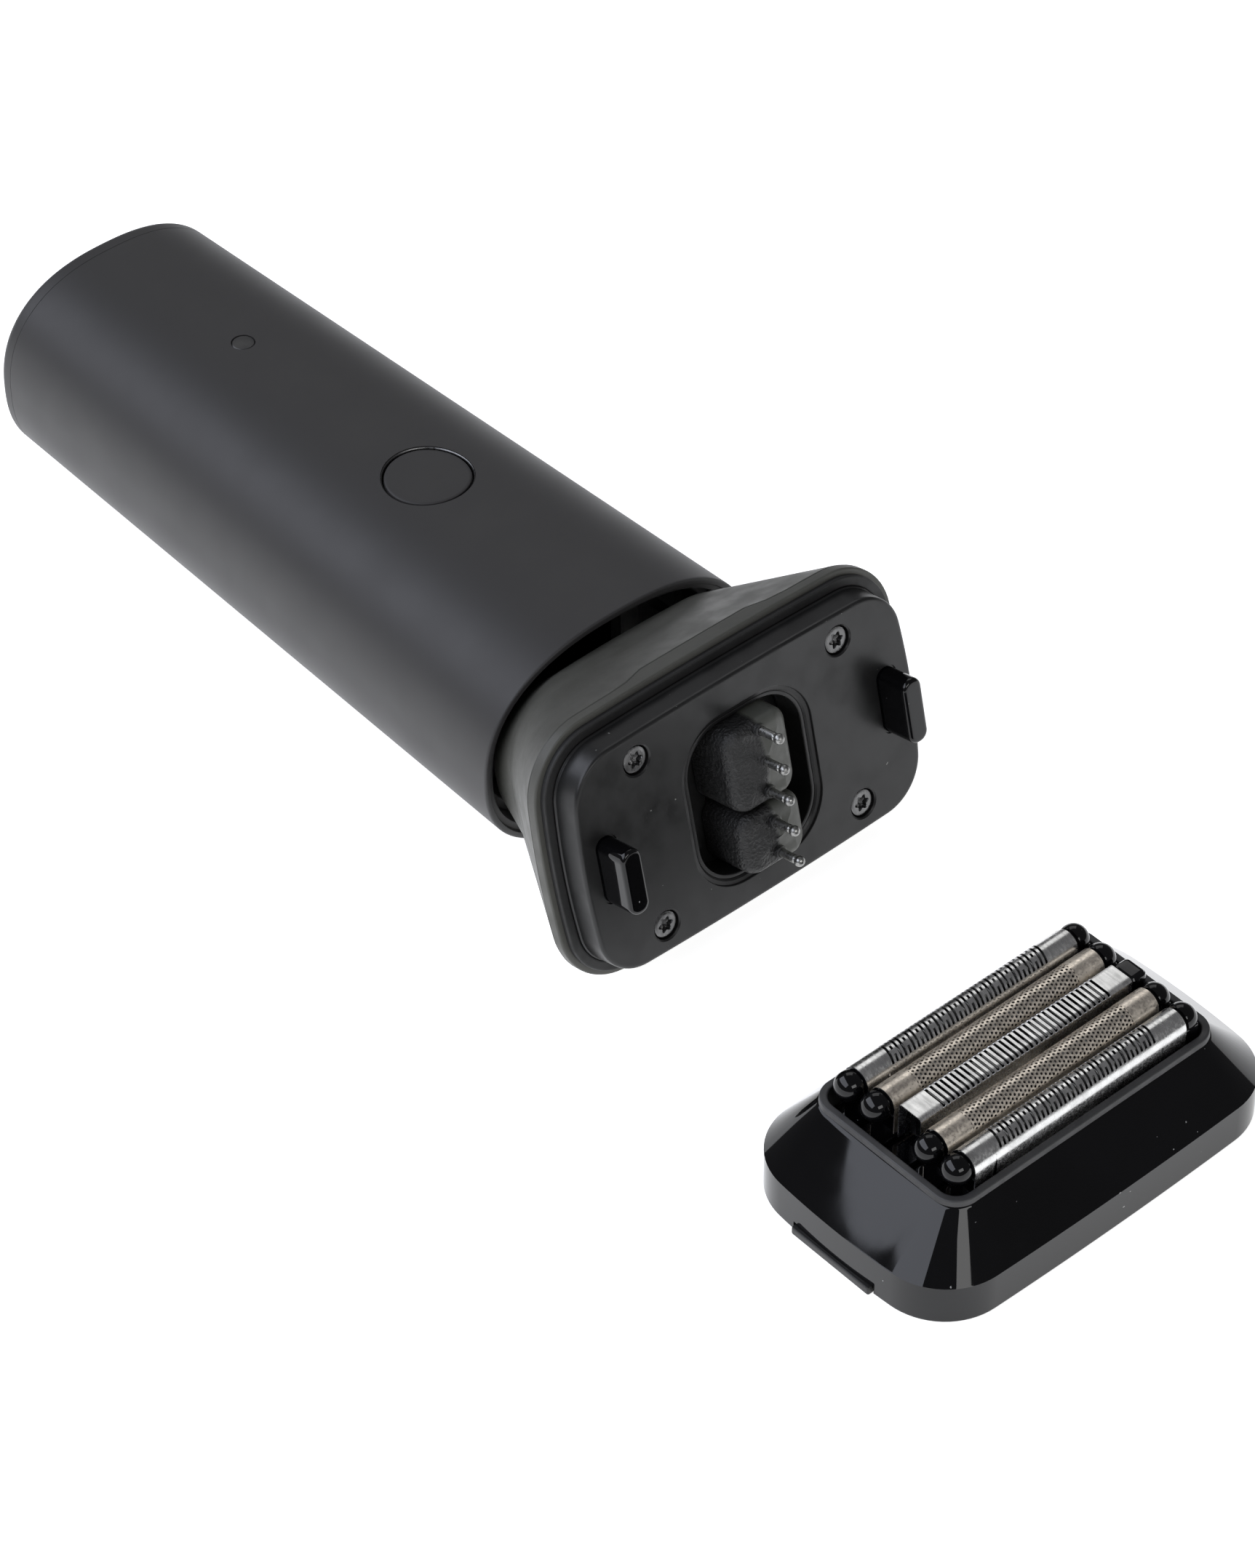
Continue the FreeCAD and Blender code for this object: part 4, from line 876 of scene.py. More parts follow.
class ShaverHandle(bpy.types.Operator):
    """Build the grip, its tail, the mouth's liner and the charging light"""

    bl_idname = "shaver.handle"
    bl_label = "Handle"

    def execute(self, context):
        sizes = context.scene.shaver_handle
        wall, lip, radius = sizes.wall, sizes.lip, sizes.light_radius
        path = rounded([(0, 0, 0.4), (0, 0.85, 0.12), (-lip, 0.95, 0.1), (-lip, wall, 0.15),
                        (seam_z, wall, 0), (seam_z, 0, 0.1)], closed=True)
        add_piece("grip_shell", swept(handle_outline, spaced(path)), HANDLE, "handle",
                  ["handle_shell"], "soft_touch", [
                      upright_hole(sizes.hole_radius, button_z),
                      upright_hole(radius + 0.08, light_z)])

        floor, spigot = tail_end + TAIL_FLOOR, seam_z + TAIL_SPIGOT
        inner = wall + TAIL_WALL
        path = rounded([
            (floor, inner + 6.0, 0), (floor, inner, 0.3), (spigot, inner, 0.2),
            (spigot, wall + 0.1, 0.2), (seam_z, wall + 0.1, 0), (seam_z, 0, 0.1),
            (tail_end, 0, 1.7), (tail_end, 3.4, 0), (tail_end, 9.0, 0)], 8)
        port = half_size("charge_port", HANDLE)
        gate = swept(lambda z, inset: boxed(port.x + 0.15 - inset, port.y + 0.15 - inset, 1.6),
                     [(tail_end - 1, -0.8), (tail_end + 0.35, 0.0), (tail_end + 3, 0.0)], False)
        gate = shifted(gate, y=handle_ring(tail_end, 0)[2])
        add_piece("grip_tail", swept(handle_outline, path, False), HANDLE, "handle",
                  ["tail_cap"], "soft_touch", [gate])

        path = rounded([(-4.0, wall + 0.02, 0.3), (-4.0, wall + 1.4, 0.3),
                        (-9.0, wall + 1.4, 0.2), (-9.0, wall + 0.02, 0.2)], closed=True)
        add_piece("mouth_liner", swept(handle_outline, path), HANDLE, "handle",
                  ["mouth_collar"], "rubber_black")
        rings = on_grip(light_z, [
            (0.01, 0.05), (radius * 0.6, 0.05), (radius - 0.15, 0.05), (radius, 0.15),
            (radius, 3.0), (0.01, 3.0)], 48)
        add_piece("charge_light", skin(rings), HANDLE, "handle", ["light_pipe"], "light_clear")
        return {"FINISHED"}


class ShaverButton(bpy.types.Operator):
    """Build the power button and the ring round it"""

    bl_idname = "shaver.button"
    bl_label = "Power button"

    def execute(self, context):
        sizes = context.scene.shaver_handle
        radius, sink = sizes.button_radius, sizes.button_sink
        cap = on_grip(button_z, [
            (0.01, sink + 0.1), (1.5, sink + 0.09), (3.0, sink + 0.06), (4.5, sink + 0.02),
            (5.5, sink), (radius - 0.3, sink + 0.02), (radius - 0.1, sink + 0.1),
            (radius, sink + 0.3), (radius, sink + 3.0), (0.01, sink + 3.0)])
        add_piece("button_cap", skin(cap), HANDLE, "button", ["power_button"], "soft_touch")
        inner, outer = sizes.ring_radius, sizes.hole_radius - 0.01
        ring = on_grip(button_z, [
            (inner, 0.5), (inner + 0.02, 0.3), (inner + 0.1, 0.16), (outer - 0.06, 0.1),
            (outer, 0.16), (outer, 1.5), (inner, 1.5)])
        add_piece("button_trim", skin(ring, True), HANDLE, "handle", ["button_ring"],
                  "dark_steel")
        return {"FINISHED"}


# ---------------------------------------------------------------- head
RIM_CROWNS = (1.4, 0.6)
WAIST_Z = -6.0
WAIST = (21.9, 14.8, 11.5, 1.0, 0.9)
STUB = (19.6, 9.8, 8.5, 0.6, 0.8)
WELL_GATE = (4.2, 10.6, 1.0)
NECK_WALL, NECK_LEDGE = 1.6, 3.5
STEP_FROM_Y, STEP_HALF, STEP_RAMP, STEP_BACK = 12.0, 12.5, 1.2, 1.1


def neck_outline(z, inset):
    sizes = bpy.context.scene.shaver_head
    front = (rim.x, rim.y, sizes.rim_corner, *RIM_CROWNS)
    x, y, corner, crown_x, crown_y = between(
        [(plate_low.z, *front), (plate_low.z - sizes.rim_band, *front), (WAIST_Z, *WAIST),
         (stub_end, *STUB)], z)
    return crowned(x - inset, y - inset, max(corner - inset, 1.0), crown_x, crown_y)


def plate_outline(z, inset):
    corner = bpy.context.scene.shaver_head.plate_corner
    return crowned(plate_high.x - inset, plate_high.y - inset, max(corner - inset, 1.0),
                   *RIM_CROWNS)


def finger_step(point, back):
    """Draw the rim's back edge back along the middle of the upper long side."""
    x, y, z = point
    if y < STEP_FROM_Y or not plate_low.z - back - 0.3 < z < plate_low.z - back + 0.5:
        return point
    share = min(max((STEP_HALF - abs(x)) / STEP_RAMP, 0), 1)
    share = share * share * (3 - 2 * share)
    return x, y, z - STEP_BACK * share


class ShaverNeck(bpy.types.Operator):
    """Build the flared neck and the seal behind the plate"""

    bl_idname = "shaver.neck"
    bl_label = "Neck"

    def execute(self, context):
        band = context.scene.shaver_head.rim_band
        ledge = plate_low.z
        path = [
            (ledge, 0, 0.3), (ledge - band + 0.25, 0, 0.1), (ledge - band + 0.05, 0.22, 0.05),
            (ledge - band - 0.15, 0.05, 0.05), (WAIST_Z, 0, 2.0), (stub_end, 0, 0.4),
            (stub_end, NECK_WALL, 0.3), (WAIST_Z, NECK_WALL, 2.0),
            (ledge - 4.0, NECK_WALL, 0.5), (ledge - 2.9, NECK_LEDGE, 0.3),
            (ledge, NECK_LEDGE, 0.2),
        ]
        points, faces = swept(neck_outline, rounded(path, 6, True))
        points = [finger_step(point, band) for point in points]
        add_piece("neck_shell", (points, faces), HEAD, "head", ["head_housing"], "neck_grey")
        seal = rounded([
            (ledge, 0.02, 0), (ledge + 0.8, 0.02, 0.3), (ledge + 0.8, -1.4, 0.3), (ledge, -1.4, 0),
        ], closed=True)
        add_piece("plate_seal", swept(plate_outline, seal), HEAD, "head", ["rim_gasket"],
                  "rubber_black")
        return {"FINISHED"}


SCREW_PLAY, SCREW_STEPS = 0.15, 48


def screw_spots():
    """Where the plate's screws stand, from the corners of their CAD node."""
    low, high = local_box("plate_screws", HEAD)
    reach = bpy.context.scene.shaver_head.screw_radius + SCREW_PLAY
    return [(i * (high.x - reach), j * (high.y - reach)) for i in SIDES for j in SIDES]


class ShaverPlate(bpy.types.Operator):
    """Build the head's plate, its drive well, lugs and screws"""

    bl_idname = "shaver.plate"
    bl_label = "Plate"

    def execute(self, context):
        sizes = context.scene.shaver_head
        front, ledge = plate_high.z, plate_low.z
        well_low, well_high = local_box("drive_well", HEAD)
        well, middle = (well_high - well_low) / 2, (well_high + well_low) / 2
        corner = sizes.well_corner

        def well_outline(z, inset):
            return [(x, y + middle.y)
                    for x, y in boxed(well.x - inset, well.y - inset, corner - inset)]

        path = rounded([(ledge, 6, 0), (ledge, 0, 0.1), (ledge + 0.9, 0, 0.1),
                        (ledge + 1.1, 0.18, 0.1), (front, 0.3, 0.55), (front, 6, 0)], 6)
        step = [(ledge - 1, 0), (front - 0.6, 0), (front - 0.38, -0.25), (front - 0.3, -0.75),
                (front - 0.05, -0.85), (front + 0.02, -1.0), (front + 1, -1.0)]
        cuts = [swept(well_outline, step, False)]
        radius = sizes.screw_radius + SCREW_PLAY
        seat = lathe([(radius, front - 1.6), (radius, front - 0.2), (radius + 0.22, front),
                      (radius + 0.22, front + 1)], SCREW_STEPS)
        cuts += [shifted(seat, x, y) for x, y in screw_spots()]
        lug = (lug_high.x - lug_inner) / 2
        lug_spots = [(side * (lug_high.x - lug), 0, 0) for side in SIDES]
        groove = swept(lambda z, inset: boxed(lug + 0.2, lug_high.y + 0.2, 1.5),
                       [(front - 0.25, 0), (front + 1, 0)], False)
        cuts += [shifted(groove, *spot) for spot in lug_spots]
        add_piece("face_plate", swept(plate_outline, path, False), HEAD, "head",
                  ["head_plate"], "satin_black", cuts)

        low, top = well_low.z, well_high.z

        def cup_outline(z, inset):
            return boxed(*WELL_GATE) if inset > 2 else well_outline(z, inset)

        cup = rounded([(low, 0.0, 0.5), (top, 0.0, 0.15), (top, 0.6, 0.2), (low + 0.8, 0.6, 1.0)],
                      5, True)
        floor = [(low + 0.8, 5.0), (low, 5.0)]
        add_piece("well_cup", swept(cup_outline, cup + floor), HEAD, "head", ["drive_well"],
                  "satin_black")

        lug_path = rounded([(front - 0.3, 0, 0), (lug_high.z, 0, 1.0), (lug_high.z, 1.4, 0)], 8)
        lug_shape = swept(
            lambda z, inset: boxed(lug - inset, lug_high.y - inset, max(1.5 - inset, 0.06)),
            lug_path, False)
        add_copies("lugs", lug_shape, lug_spots, HEAD, "gloss_black", "head", ["locating_lugs"])

        radius = sizes.screw_radius
        rings = [[(x, y, z) for x, y in circle(r, SCREW_STEPS)] for r, z in (
            (radius, -5.0), (radius, -0.35), (radius - 0.12, -0.08), (radius - 0.35, 0.0),
            (radius - 0.6, 0.02))]
        lobes = [0.98 + 0.2 * math.cos(6 * math.tau * k / SCREW_STEPS)
                 for k in range(SCREW_STEPS)]
        star = [(x * lobe, y * lobe) for (x, y), lobe in zip(circle(1.0, SCREW_STEPS), lobes)]
        rings += [[(x * share, y * share, z) for x, y in star] for share, z in (
            (1.06, 0.02), (0.97, -0.08), (0.95, -0.7), (0.45, -0.85), (0.02, -0.8))]
        spots = [(x, y, front - 0.35) for x, y in screw_spots()]
        add_copies("screw_heads", skin(rings), spots, HEAD, "dark_steel", "head",
                   ["plate_screws"])
        return {"FINISHED"}


BOOT_RIDGE, BOOT_CORNER, BOOT_EDGE, BOOT_STEP = 1.4, 2.4, 1.3, 0.35
PIN_STEPS = 28


class ShaverDrive(bpy.types.Operator):
    """Build the two rubber boots and the ball-ended drive pins"""

    bl_idname = "shaver.drive"
    bl_label = "Drive"

    def execute(self, context):
        sizes = context.scene.shaver_head
        for name, rows in (("upper", (2, 1, 0)), ("lower", (-1, -2))):
            body = "drive_" + name
            low, high = local_box("drive_boot_" + name, HEAD)
            half, middle = (high - low) / 2, (high + low) / 2
            slope = BOOT_RIDGE / half.x

            def roof(x):
                return high.z - slope * math.sqrt(x * x + 0.12)

            rings = []
            levels = [(low.z, 0, 0)] + [
                (BOOT_EDGE * math.sin(a) - BOOT_EDGE, BOOT_EDGE - BOOT_EDGE * math.cos(a), 1)
                for a in [math.pi / 2 * k / 8 for k in range(9)]
            ] + [(0, BOOT_EDGE + BOOT_STEP * k, 1) for k in range(1, 12)]
            for level, inset, on_roof in levels:
                keep_x, keep_y = max(half.x - inset, 0.02), max(half.y - inset, 0.02)
                corner = max(min(BOOT_CORNER - inset, keep_x, keep_y) * 0.98, 0.01)
                ring = boxed(keep_x, keep_y, corner, 8)
                rings.append([(x, y + middle.y, roof(x) + level if on_roof else level)
                              for x, y in ring])
            add_piece("boot_" + name, skin(rings), HEAD, body, ["drive_boot_" + name],
                      "boot_rubber")
            ball, radius = sizes.ball_radius, sizes.pin_radius
            centre = pin_tip - ball
            turns = [math.pi / 2 - math.pi * 0.80 * k / 10 for k in range(11)]
            profile = [(max(ball * math.cos(a), 0.005), centre + ball * math.sin(a))
                       for a in turns]
            profile += [(radius * 0.86, centre - ball * 0.95), (radius, centre - ball * 1.15),
                        (radius, high.z - 3.0)]
            collar = [(radius + out, high.z - down) for out, down in (
                (0.02, 0.7), (0.32, 0.7), (0.30, 0.18), (0.1, 0.05), (0.02, 0.1))]
            spots = [(0, row * ELEMENT_PITCH, 0) for row in rows]
            add_copies("pins_" + name, lathe(profile, PIN_STEPS), spots, HEAD, "steel", body,
                       ["drive_pins_" + name])
            add_copies("pin_collars_" + name, lathe(collar, PIN_STEPS), spots, HEAD,
                       "boot_rubber", body)
        return {"FINISHED"}


# ---------------------------------------------------------------- cassette
BAND = (9.65, 1.38, 0.62)
SLOPE_END = (23.5, 13.3, 3.6, 0.2, 0.15)
LIP = (23.4, 13.2, 3.55)


def housing_outline(z, inset):
    band = bpy.context.scene.shaver_cassette.band
    foot = (housing.x, housing.y, *BAND)
    x, y, corner, crown_x, crown_y = between(
        [(0, *foot), (band, *foot), (slope_top, *SLOPE_END)], z)
    return crowned(x - inset, y - inset, max(corner - inset, 0.5), crown_x, crown_y)


class ShaverHousing(bpy.types.Operator):
    """Build the cassette's glossy housing, its release tabs and the matt foil frame"""

    bl_idname = "shaver.housing"
    bl_label = "Cassette housing"

    def execute(self, context):
        band = context.scene.shaver_cassette.band
        path = [
            (0, 0, 0.35), (band, 0, 0.7), (slope_top, 0, 0.3), (slope_top, 0.6, 0.1),
            (slope_top - 1.2, 1.5, 0.1), (5.5, 1.6, 0.1), (5.3, 1.35, 0.1), (0, 1.35, 0.25),
        ]
        low, high = local_box("release_tabs", CASSETTE)
        notch = block(1.45, high.y + 0.25, -1.0, high.z + 0.25, 0.1)
        tab = block(1.2, high.y, 0.02, high.z, 0.3)
        rib = block(0.3, high.y - 1.2, high.z - 0.5, high.z + 0.02, 0.12)
        notches, tabs = [], []
        for side in SIDES:
            middle = side * (high.x - 1.2)
            notches.append(shifted(notch, middle))
            tabs += [shifted(tab, middle), shifted(rib, middle + side * 0.55)]
        add_piece("cassette_shell", swept(housing_outline, rounded(path, 6, True)), CASSETTE,
                  "cassette", ["cassette_housing"], "gloss_black", notches)
        add_piece("latch_tabs", together(*tabs), CASSETTE, "cassette", ["release_tabs"],
                  "satin_black")
        foot = local_box("foil_frame", CASSETTE)[0].z
        lip_path = rounded([
            (slope_top, 0, 0), (frame_top, 0.08, 0.3), (frame_top, 1.17, 0.3), (foot, 1.17, 0),
            (foot, 0.65, 0), (slope_top, 0.65, 0),
        ], 6, True)
        lip = swept(lambda z, inset: boxed(*[size - inset for size in LIP]), lip_path)
        ear = block(1.75, 1.8, foot, foot + 1.8)
        ears = [shifted(ear, i * 24, j * 9) for i in SIDES for j in SIDES]
        add_piece("foil_surround", together(lip, *ears), CASSETTE, "cassette", ["foil_frame"],
                  "matt_frame")
        return {"FINISHED"}


ROWS = (("outer_foil_rear", "slotted"), ("mesh_foil_rear", "mesh"), ("trimmer_guard", "guard"),
        ("mesh_foil_front", "mesh"), ("outer_foil_front", "slotted"))
GUARD_FLAT, GUARD_SLOTTED = 1.45, 15.2
SLOT_REACH = {"slotted": 1.02, "guard": 1.2, "mesh": 1.36}


def row_place(label):
    """Where a row stands, in metres, from its own millimetres; the rear row is row 1."""
    return CASSETTE @ Matrix.Translation((0, (3 - label) * ELEMENT_PITCH, 0))


def add_sheet(name, tree, values, place, top, body, nodes, slot, thickness):
    """A foil from its node tree: made flat and folded at the origin, then put in place."""
    thing = add_object(name, bpy.data.meshes.new(name))
    run_tree(thing, tree, {**values, "Finish": finish(slot)})
    wall = thing.modifiers.new("wall", "SOLIDIFY")
    wall.thickness = thickness * MM
    wall.offset = -1
    settle(thing)
    thing.data.transform(Matrix.Translation(place @ Vector((0, 0, top))))
    finish_piece(thing, body, nodes, slot)


class ShaverFoils(bpy.types.Operator):
    """Build the slotted foils, the mesh foils and the trimmer's guard"""

    bl_idname = "shaver.foils"
    bl_label = "Foils"

    def execute(self, context):
        sizes = context.scene.shaver_cassette
        slotted, lattice = slotted_tree(), lattice_tree()
        for label, (node, kind) in enumerate(ROWS, 1):
            place, body = row_place(label), "element_%d" % label
            low, high = local_box(node, CASSETTE)
            flat = GUARD_FLAT if kind == "guard" else 0.0
            bend = (high.y - low.y) / 2 - flat
            around = flat + bend * math.pi / 2 + (high.z - bend - low.z)
            pitch = sizes.guard_pitch if kind == "guard" else sizes.slot_pitch
            cells = int(2 * high.x / (pitch / 2)) // 2 * 2 + 1
            reach = flat + SLOT_REACH[kind] * bend
            values = {
                "Half Length": high.x * MM,
                "Half Way Round": around * MM,
                "Columns": cells + 1,
                "Rows": 45,
                "Slotted Half": (GUARD_SLOTTED if kind == "guard" else sizes.slotted_half) * MM,
                "Slot Reach": reach * MM,
                "Flat Half": flat * MM,
                "Bend": bend * MM,
                "Broken Every": 3.0 if kind == "slotted" else 1000.0,
                "Lean": 0.18 if kind == "slotted" else 0.0,
                "Window": 1.0 if kind == "mesh" else 0.0,
            }
            slot = "mesh_foil" if kind == "mesh" else "foil_steel"
            top = high.z - bend
            add_sheet("foil_%d" % label, slotted, values, place, top, body, [node], slot,
                      sizes.sheet)
            if kind == "mesh":
                pitch = sizes.mesh_pitch
                step = pitch * math.sqrt(3) / 2
                values = {
                    "Pitch": pitch * MM,
                    "Columns": int(2 * (sizes.slotted_half + 0.3) / step) | 1,
                    "Rows": int(2 * (reach + 0.3) / pitch),
                    "Opening": sizes.mesh_bar,
                    "Bend": (bend - 0.03) * MM,
                }
                add_sheet("mesh_%d" % label, lattice, values, place, top, body, [], slot,
                          sizes.sheet * 0.8)
        return {"FINISHED"}


def bullet(radius, start, side):
    """A round end cap that lies along X: a collar, a narrow groove and a domed nose."""
    profile = [(0.01, -0.3), (radius * 0.97, -0.3), (radius * 0.97, 0.05), (radius * 0.8, 0.18),
               (radius * 0.8, 0.4), (radius * 0.94, 0.55), (radius * 0.98, 0.9)]
    turns = [math.pi / 2 * k / 10 for k in range(11)]
    profile += [(max(radius * 0.98 * math.cos(a), 0.01), 1.25 + radius * 0.93 * math.sin(a))
                for a in turns]
    turned = moved(lathe(profile, 40), Matrix.Rotation(side * math.pi / 2, 4, "Y"))
    return shifted(turned, side * start)


class ShaverCarriers(bpy.types.Operator):
    """Build the floating carriers with their end caps, the blade packs and the springs"""

    bl_idname = "shaver.carriers"
    bl_label = "Carriers and cutters"

    def execute(self, context):
        sizes = context.scene.shaver_cassette
        springs = spring_tree()
        axis = local_box("outer_foil_rear", CASSETTE)[1].z - sizes.foil_radius
        for label, (node, kind) in enumerate(ROWS, 1):
            place, body = row_place(label), "element_%d" % label
            low, high = local_box("foil_carrier_%d" % label, CASSETTE)
            half = sizes.foil_half
            shapes = [block(high.x - 0.9, 1.9, low.z, low.z + 1.0, 0.15)]
            for side in SIDES:
                if kind == "guard":
                    cap = block((high.x - half) / 2 - 0.02, 1.93, low.z, high.z - 0.25, 0.85)
                    shapes.append(shifted(cap, side * ((high.x + half) / 2 + 0.02)))
                    continue
                post = block(1.2, sizes.foil_radius * 0.94, low.z, axis - 0.2, 0.3)
                nose = bullet(sizes.foil_radius, half + 0.02, side)
                shapes += [shifted(post, side * (half + 1.25)), shifted(nose, z=axis)]
            slot_cut = swept(lambda z, inset: boxed(3.6, 1.35, 0.2, 4),
                             [(low.z - 1, 0), (low.z + 2, 0)], False)
            add_piece("carrier_%d" % label, together(*shapes), place, body,
                      ["foil_carrier_%d" % label], "gloss_black", [slot_cut])
            add_blades(label, kind == "guard", place, sizes)
            add_springs(label, place, springs)
        return {"FINISHED"}


HALF_BLADE = 0.16
SPRING_WIRE, SPRING_RADIUS, SPRING_SPREAD, SPRING_TURNS = 0.25, 1.2, 13.0, 3.0


def add_blades(label, flat, place, sizes):
    """An inner cutter: thin blades side by side on a spine, over the socket for its pin."""
    node, body = "cutter_%d" % label, "inner_cutter_%d" % label
    low, high = local_box(node, CASSETTE)
    half = (high.y - low.y) / 2
    foot = low.z + 2.2
    top = [(half, high.z), (-half, high.z)]
    if not flat:
        axis = high.z - half
        top = [(half * math.cos(math.pi * k / 12), axis + half * math.sin(math.pi * k / 12))
               for k in range(13)]
    rings = [[(side * HALF_BLADE, y, z) for y, z in [(-half, foot), (half, foot), *top]]
             for side in SIDES]
    count, reach = sizes.blade_count, high.x - HALF_BLADE
    spots = [(reach * (2 * k / (count - 1) - 1), 0, 0) for k in range(count)]
    add_copies("blades_%d" % label, skin(rings), spots, place, "dark_steel", body, [node])
    spine = block(high.x, 0.5, foot + 0.1, high.z - 0.7, 0.1)
    socket = skin([[(x, y, z) for x, y in circle(radius, 32)] for radius, z in (
        (0.7, low.z), (1.25, low.z), (1.25, foot + 0.3), (0.7, foot + 0.3))], True)
    add_piece("socket_%d" % label, together(spine, socket), place, body, [], "white_plastic")


def add_springs(label, place, tree):
    """The two coil springs under a carrier."""
    low, high = local_box("float_springs_%d" % label, CASSETTE)
    spots = [place @ Vector((side * SPRING_SPREAD, 0, low.z + SPRING_WIRE)) for side in SIDES]
    points = bpy.data.meshes.new("springs_%d" % label)
    points.from_pydata(spots, [], [])
    thing = add_object("springs_%d" % label, points)
    run_tree(thing, tree, {
        "Height": (high.z - low.z - 2 * SPRING_WIRE) * MM, "Radius": SPRING_RADIUS * MM,
        "Wire": SPRING_WIRE * MM, "Turns": SPRING_TURNS, "Finish": finish("steel"),
    })
    settle(thing)
    finish_piece(thing, None, ["float_springs_%d" % label], "steel")
    foot, top = (place @ Vector((0, 0, z)) for z in (low.z + 0.4, high.z - 0.4))
    tuple(foot)
    tuple(top)
    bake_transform(thing)


class ShaverInnerParts(bpy.types.Operator):
    """Give every CAD part that keeps its shape its finish"""

    bl_idname = "shaver.inner_parts"
    bl_label = "Inner parts"

    def execute(self, context):
        for part in frame["record"]["subparts"]:
            thing = frame["nodes"][part["node"]]
            if thing.hide_render:
                continue
            thing.data.materials.clear()
            thing.data.materials.append(finish(part["material_slot"]))
        return {"FINISHED"}


# ---------------------------------------------------------------- stage
LAMP_AIM = (0.0, -0.03, 0.01)
LAMPS = (  # direction, distance, width, height in metres, watts
    ("back_softbox", (0.48, 0.55, 0.68), 1.3, 0.7, 0.6, 1.3),
    ("front_softbox", (-0.08, -0.8, 0.55), 1.3, 0.8, 0.4, 3.5),
)
SLOPE_LAMP_WIDE, SLOPE_LAMP_HIGH, SLOPE_LAMP_AWAY, SLOPE_LAMP_WATTS = 1.6, 0.6, 0.9, 8.0
SLOPE_LAMP_TINT = (0.93, 0.97, 1.09)
SLOPE_LAMP_DROP = 0.012
FLOOR_REACH = 6.0


def add_light(name, direction, distance, width, height, watts, aim=LAMP_AIM, edge=None,
              tint=(1, 1, 1)):
    """A soft rectangular lamp that looks at a point; edge is the way its long side runs."""
    lamp = bpy.data.lights.new(name, "AREA")
    lamp.shape = "RECTANGLE"
    lamp.size, lamp.size_y, lamp.energy = width, height, watts
    lamp.color = tint
    thing = add_object(name, lamp)
    away = Vector(direction).normalized()
    thing.location = Vector(aim) + away * distance
    if edge:
        side = (edge - away * away.dot(edge)).normalized()
        thing.rotation_euler = Matrix((side, away.cross(side), away)).transposed().to_euler()
    else:
        thing.rotation_euler = away.to_track_quat("Z", "Y").to_euler()


def mirrored(spot, normal, eye):
    """The direction in which a camera at eye sees past a shiny spot."""
    view = (eye - spot).normalized()
    return 2 * normal.dot(view) * normal - view


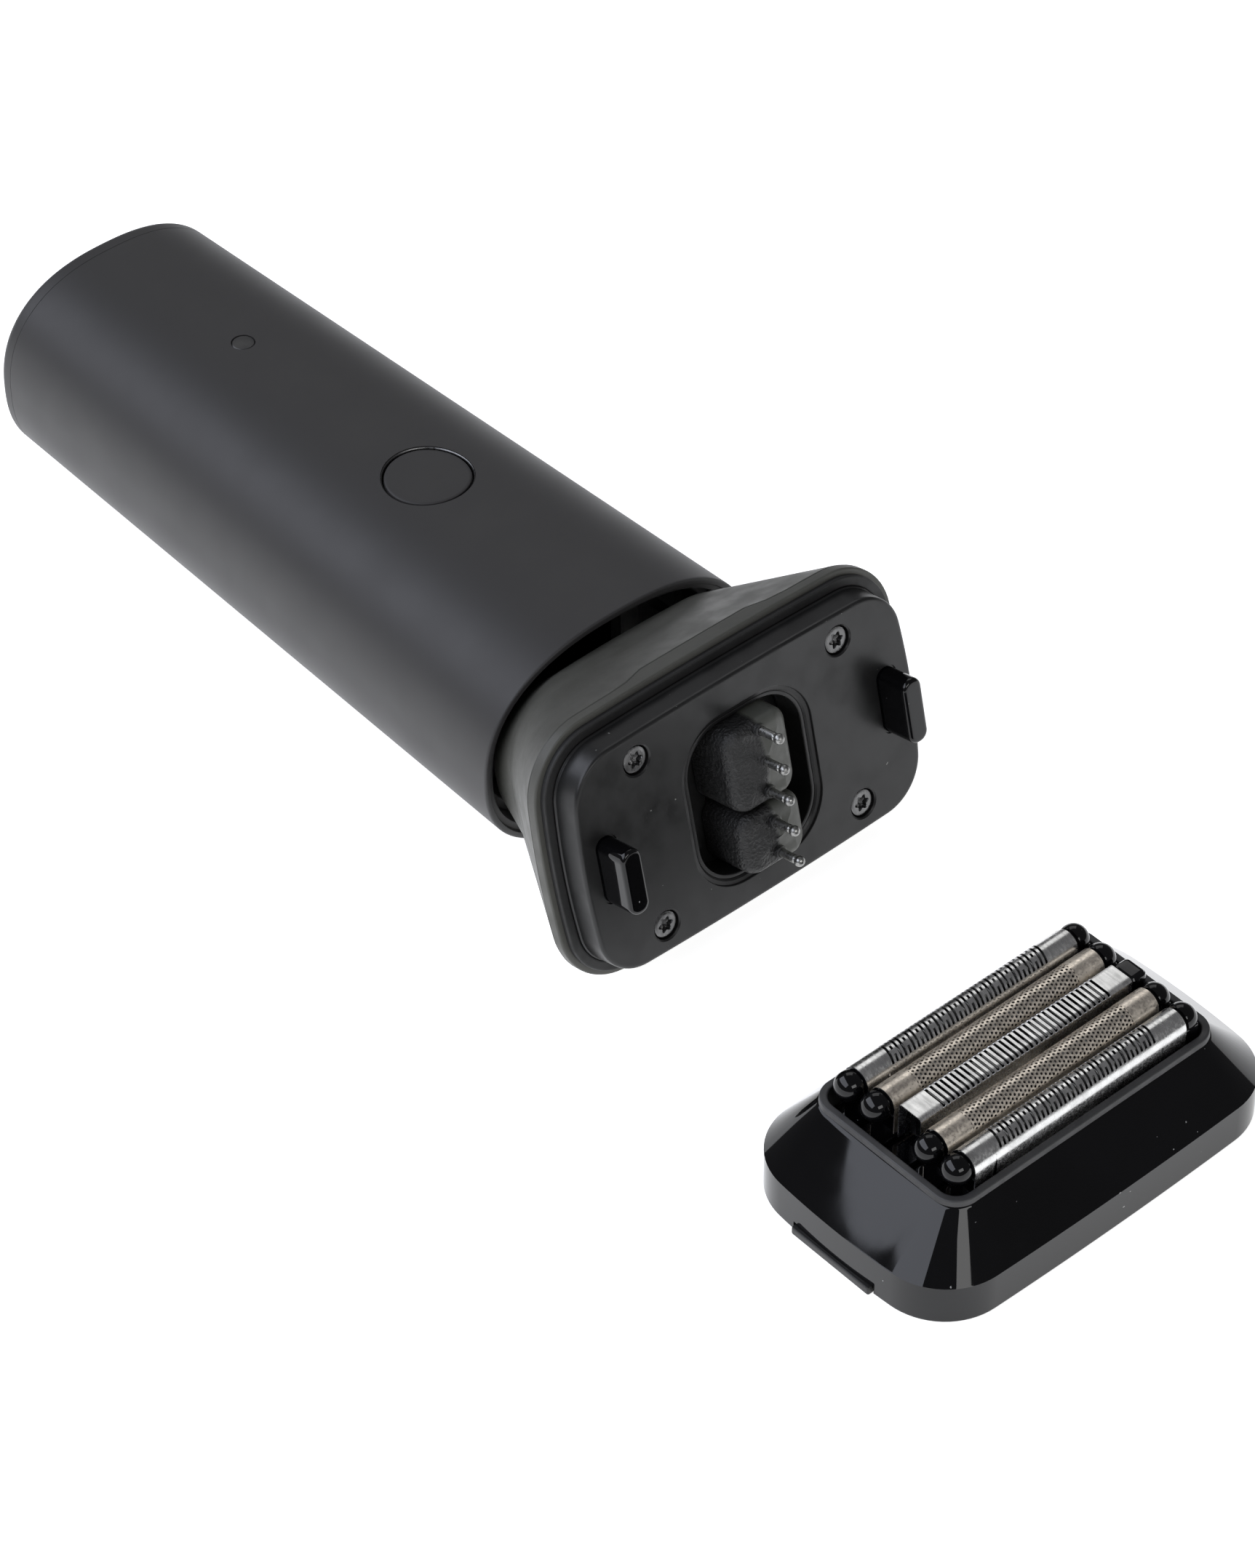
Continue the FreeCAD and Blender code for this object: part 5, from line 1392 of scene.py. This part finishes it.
class ShaverStage(bpy.types.Operator):
    """Set the floor, the soft lamps and the camera"""

    bl_idname = "shaver.stage"
    bl_label = "Stage"

    def execute(self, context):
        scene = context.scene
        sizes = scene.shaver_stage
        floor_mesh = bpy.data.meshes.new("floor")
        corners = [(x * FLOOR_REACH, y * FLOOR_REACH, 0)
                   for x, y in ((-1, -1), (1, -1), (1, 1), (-1, 1))]
        floor_mesh.from_pydata(corners, [], [(0, 1, 2, 3)])
        floor = add_object("floor", floor_mesh)
        floor_mesh.materials.append(finish("pale_floor"))

        world = bpy.data.worlds.new("studio")
        world.use_nodes = True
        background = world.node_tree.nodes["Background"]
        background.inputs["Color"].default_value = (0.13, 0.13, 0.135, 1)
        scene.world = world
        scene.view_settings.view_transform = "Standard"

        turn, rise = sizes.azimuth, sizes.elevation
        back = Vector((math.sin(turn) * math.cos(rise), -math.cos(turn) * math.cos(rise),
                       math.sin(rise)))
        lens = bpy.data.cameras.new("camera")
        lens.sensor_width, lens.lens = 36.0, sizes.lens
        lens.clip_start, lens.clip_end = 0.01, 50.0
        camera = add_object("camera", lens)
        target = Vector(((shell_low.x + shell_high.x) / 2 + 3.51 * MM, shell_low.y + 2.27 * MM, 0))
        camera.location = target + back * sizes.distance
        aim_turn = (-back).to_track_quat("-Z", "Y").to_matrix().to_4x4()
        roll = Matrix.Rotation(sizes.roll, 4, "Z")
        camera.rotation_euler = (aim_turn @ roll).to_euler()
        scene.camera = camera

        # The left softbox's lower edge shows part of the way up the cassette's left slope.
        band = scene.shaver_cassette.band
        run, rise = housing.x - SLOPE_END[0], slope_top - band
        spot = CASSETTE @ Vector((0.25 * run - housing.x, 0, band + 0.25 * rise))
        past = mirrored(spot, Vector((-rise, 0, run)).normalized(), camera.location)
        edge = Vector((0.2, 1, 0.2))
        upward = past.cross(edge).normalized()
        upward *= math.copysign(1, upward.z)
        way = past * SLOPE_LAMP_AWAY + upward * (SLOPE_LAMP_HIGH / 2 - SLOPE_LAMP_DROP)
        add_light("left_softbox", way, way.length, SLOPE_LAMP_WIDE, SLOPE_LAMP_HIGH,
                  SLOPE_LAMP_WATTS, spot, edge, SLOPE_LAMP_TINT)
        for lamp in LAMPS:
            add_light(*lamp)
        return {"FINISHED"}


# ---------------------------------------------------------------- add-on
GROUPS = (
    ("shaver_handle", ShaverHandleSizes, "Handle"),
    ("shaver_head", ShaverHeadSizes, "Head"),
    ("shaver_cassette", ShaverCassetteSizes, "Cassette"),
    ("shaver_colours", ShaverColours, "Colours"),
    ("shaver_stage", ShaverStageSizes, "Stage"),
)
OPERATORS = (
    ShaverHandle, ShaverButton, ShaverNeck, ShaverPlate, ShaverDrive, ShaverHousing,
    ShaverFoils, ShaverCarriers, ShaverInnerParts, ShaverStage,
)


class ShaverPanel(bpy.types.Panel):
    """Sizes, colours and one button for each piece"""

    bl_idname = "VIEW3D_PT_shaver"
    bl_label = "Foil Shaver"
    bl_space_type = "VIEW_3D"
    bl_region_type = "UI"
    bl_category = "Shaver"

    def draw(self, context):
        for name, group, title in GROUPS:
            box = self.layout.box()
            box.label(text=title)
            for field in group.__annotations__:
                box.prop(getattr(context.scene, name), field)
        for operator in OPERATORS:
            self.layout.operator(operator.bl_idname)


def register():
    for name, group, title in GROUPS:
        bpy.utils.register_class(group)
        setattr(bpy.types.Scene, name, PointerProperty(type=group, name=title))
    for operator in OPERATORS:
        bpy.utils.register_class(operator)
    bpy.utils.register_class(ShaverPanel)


def unregister():
    bpy.utils.unregister_class(ShaverPanel)
    for operator in reversed(OPERATORS):
        bpy.utils.unregister_class(operator)
    for name, group, title in reversed(GROUPS):
        delattr(bpy.types.Scene, name)
        bpy.utils.unregister_class(group)


def main():
    register()
    for operator in OPERATORS:
        category, name = operator.bl_idname.split(".")
        getattr(getattr(bpy.ops, category), name)()


if __name__ == "__main__":
    main()
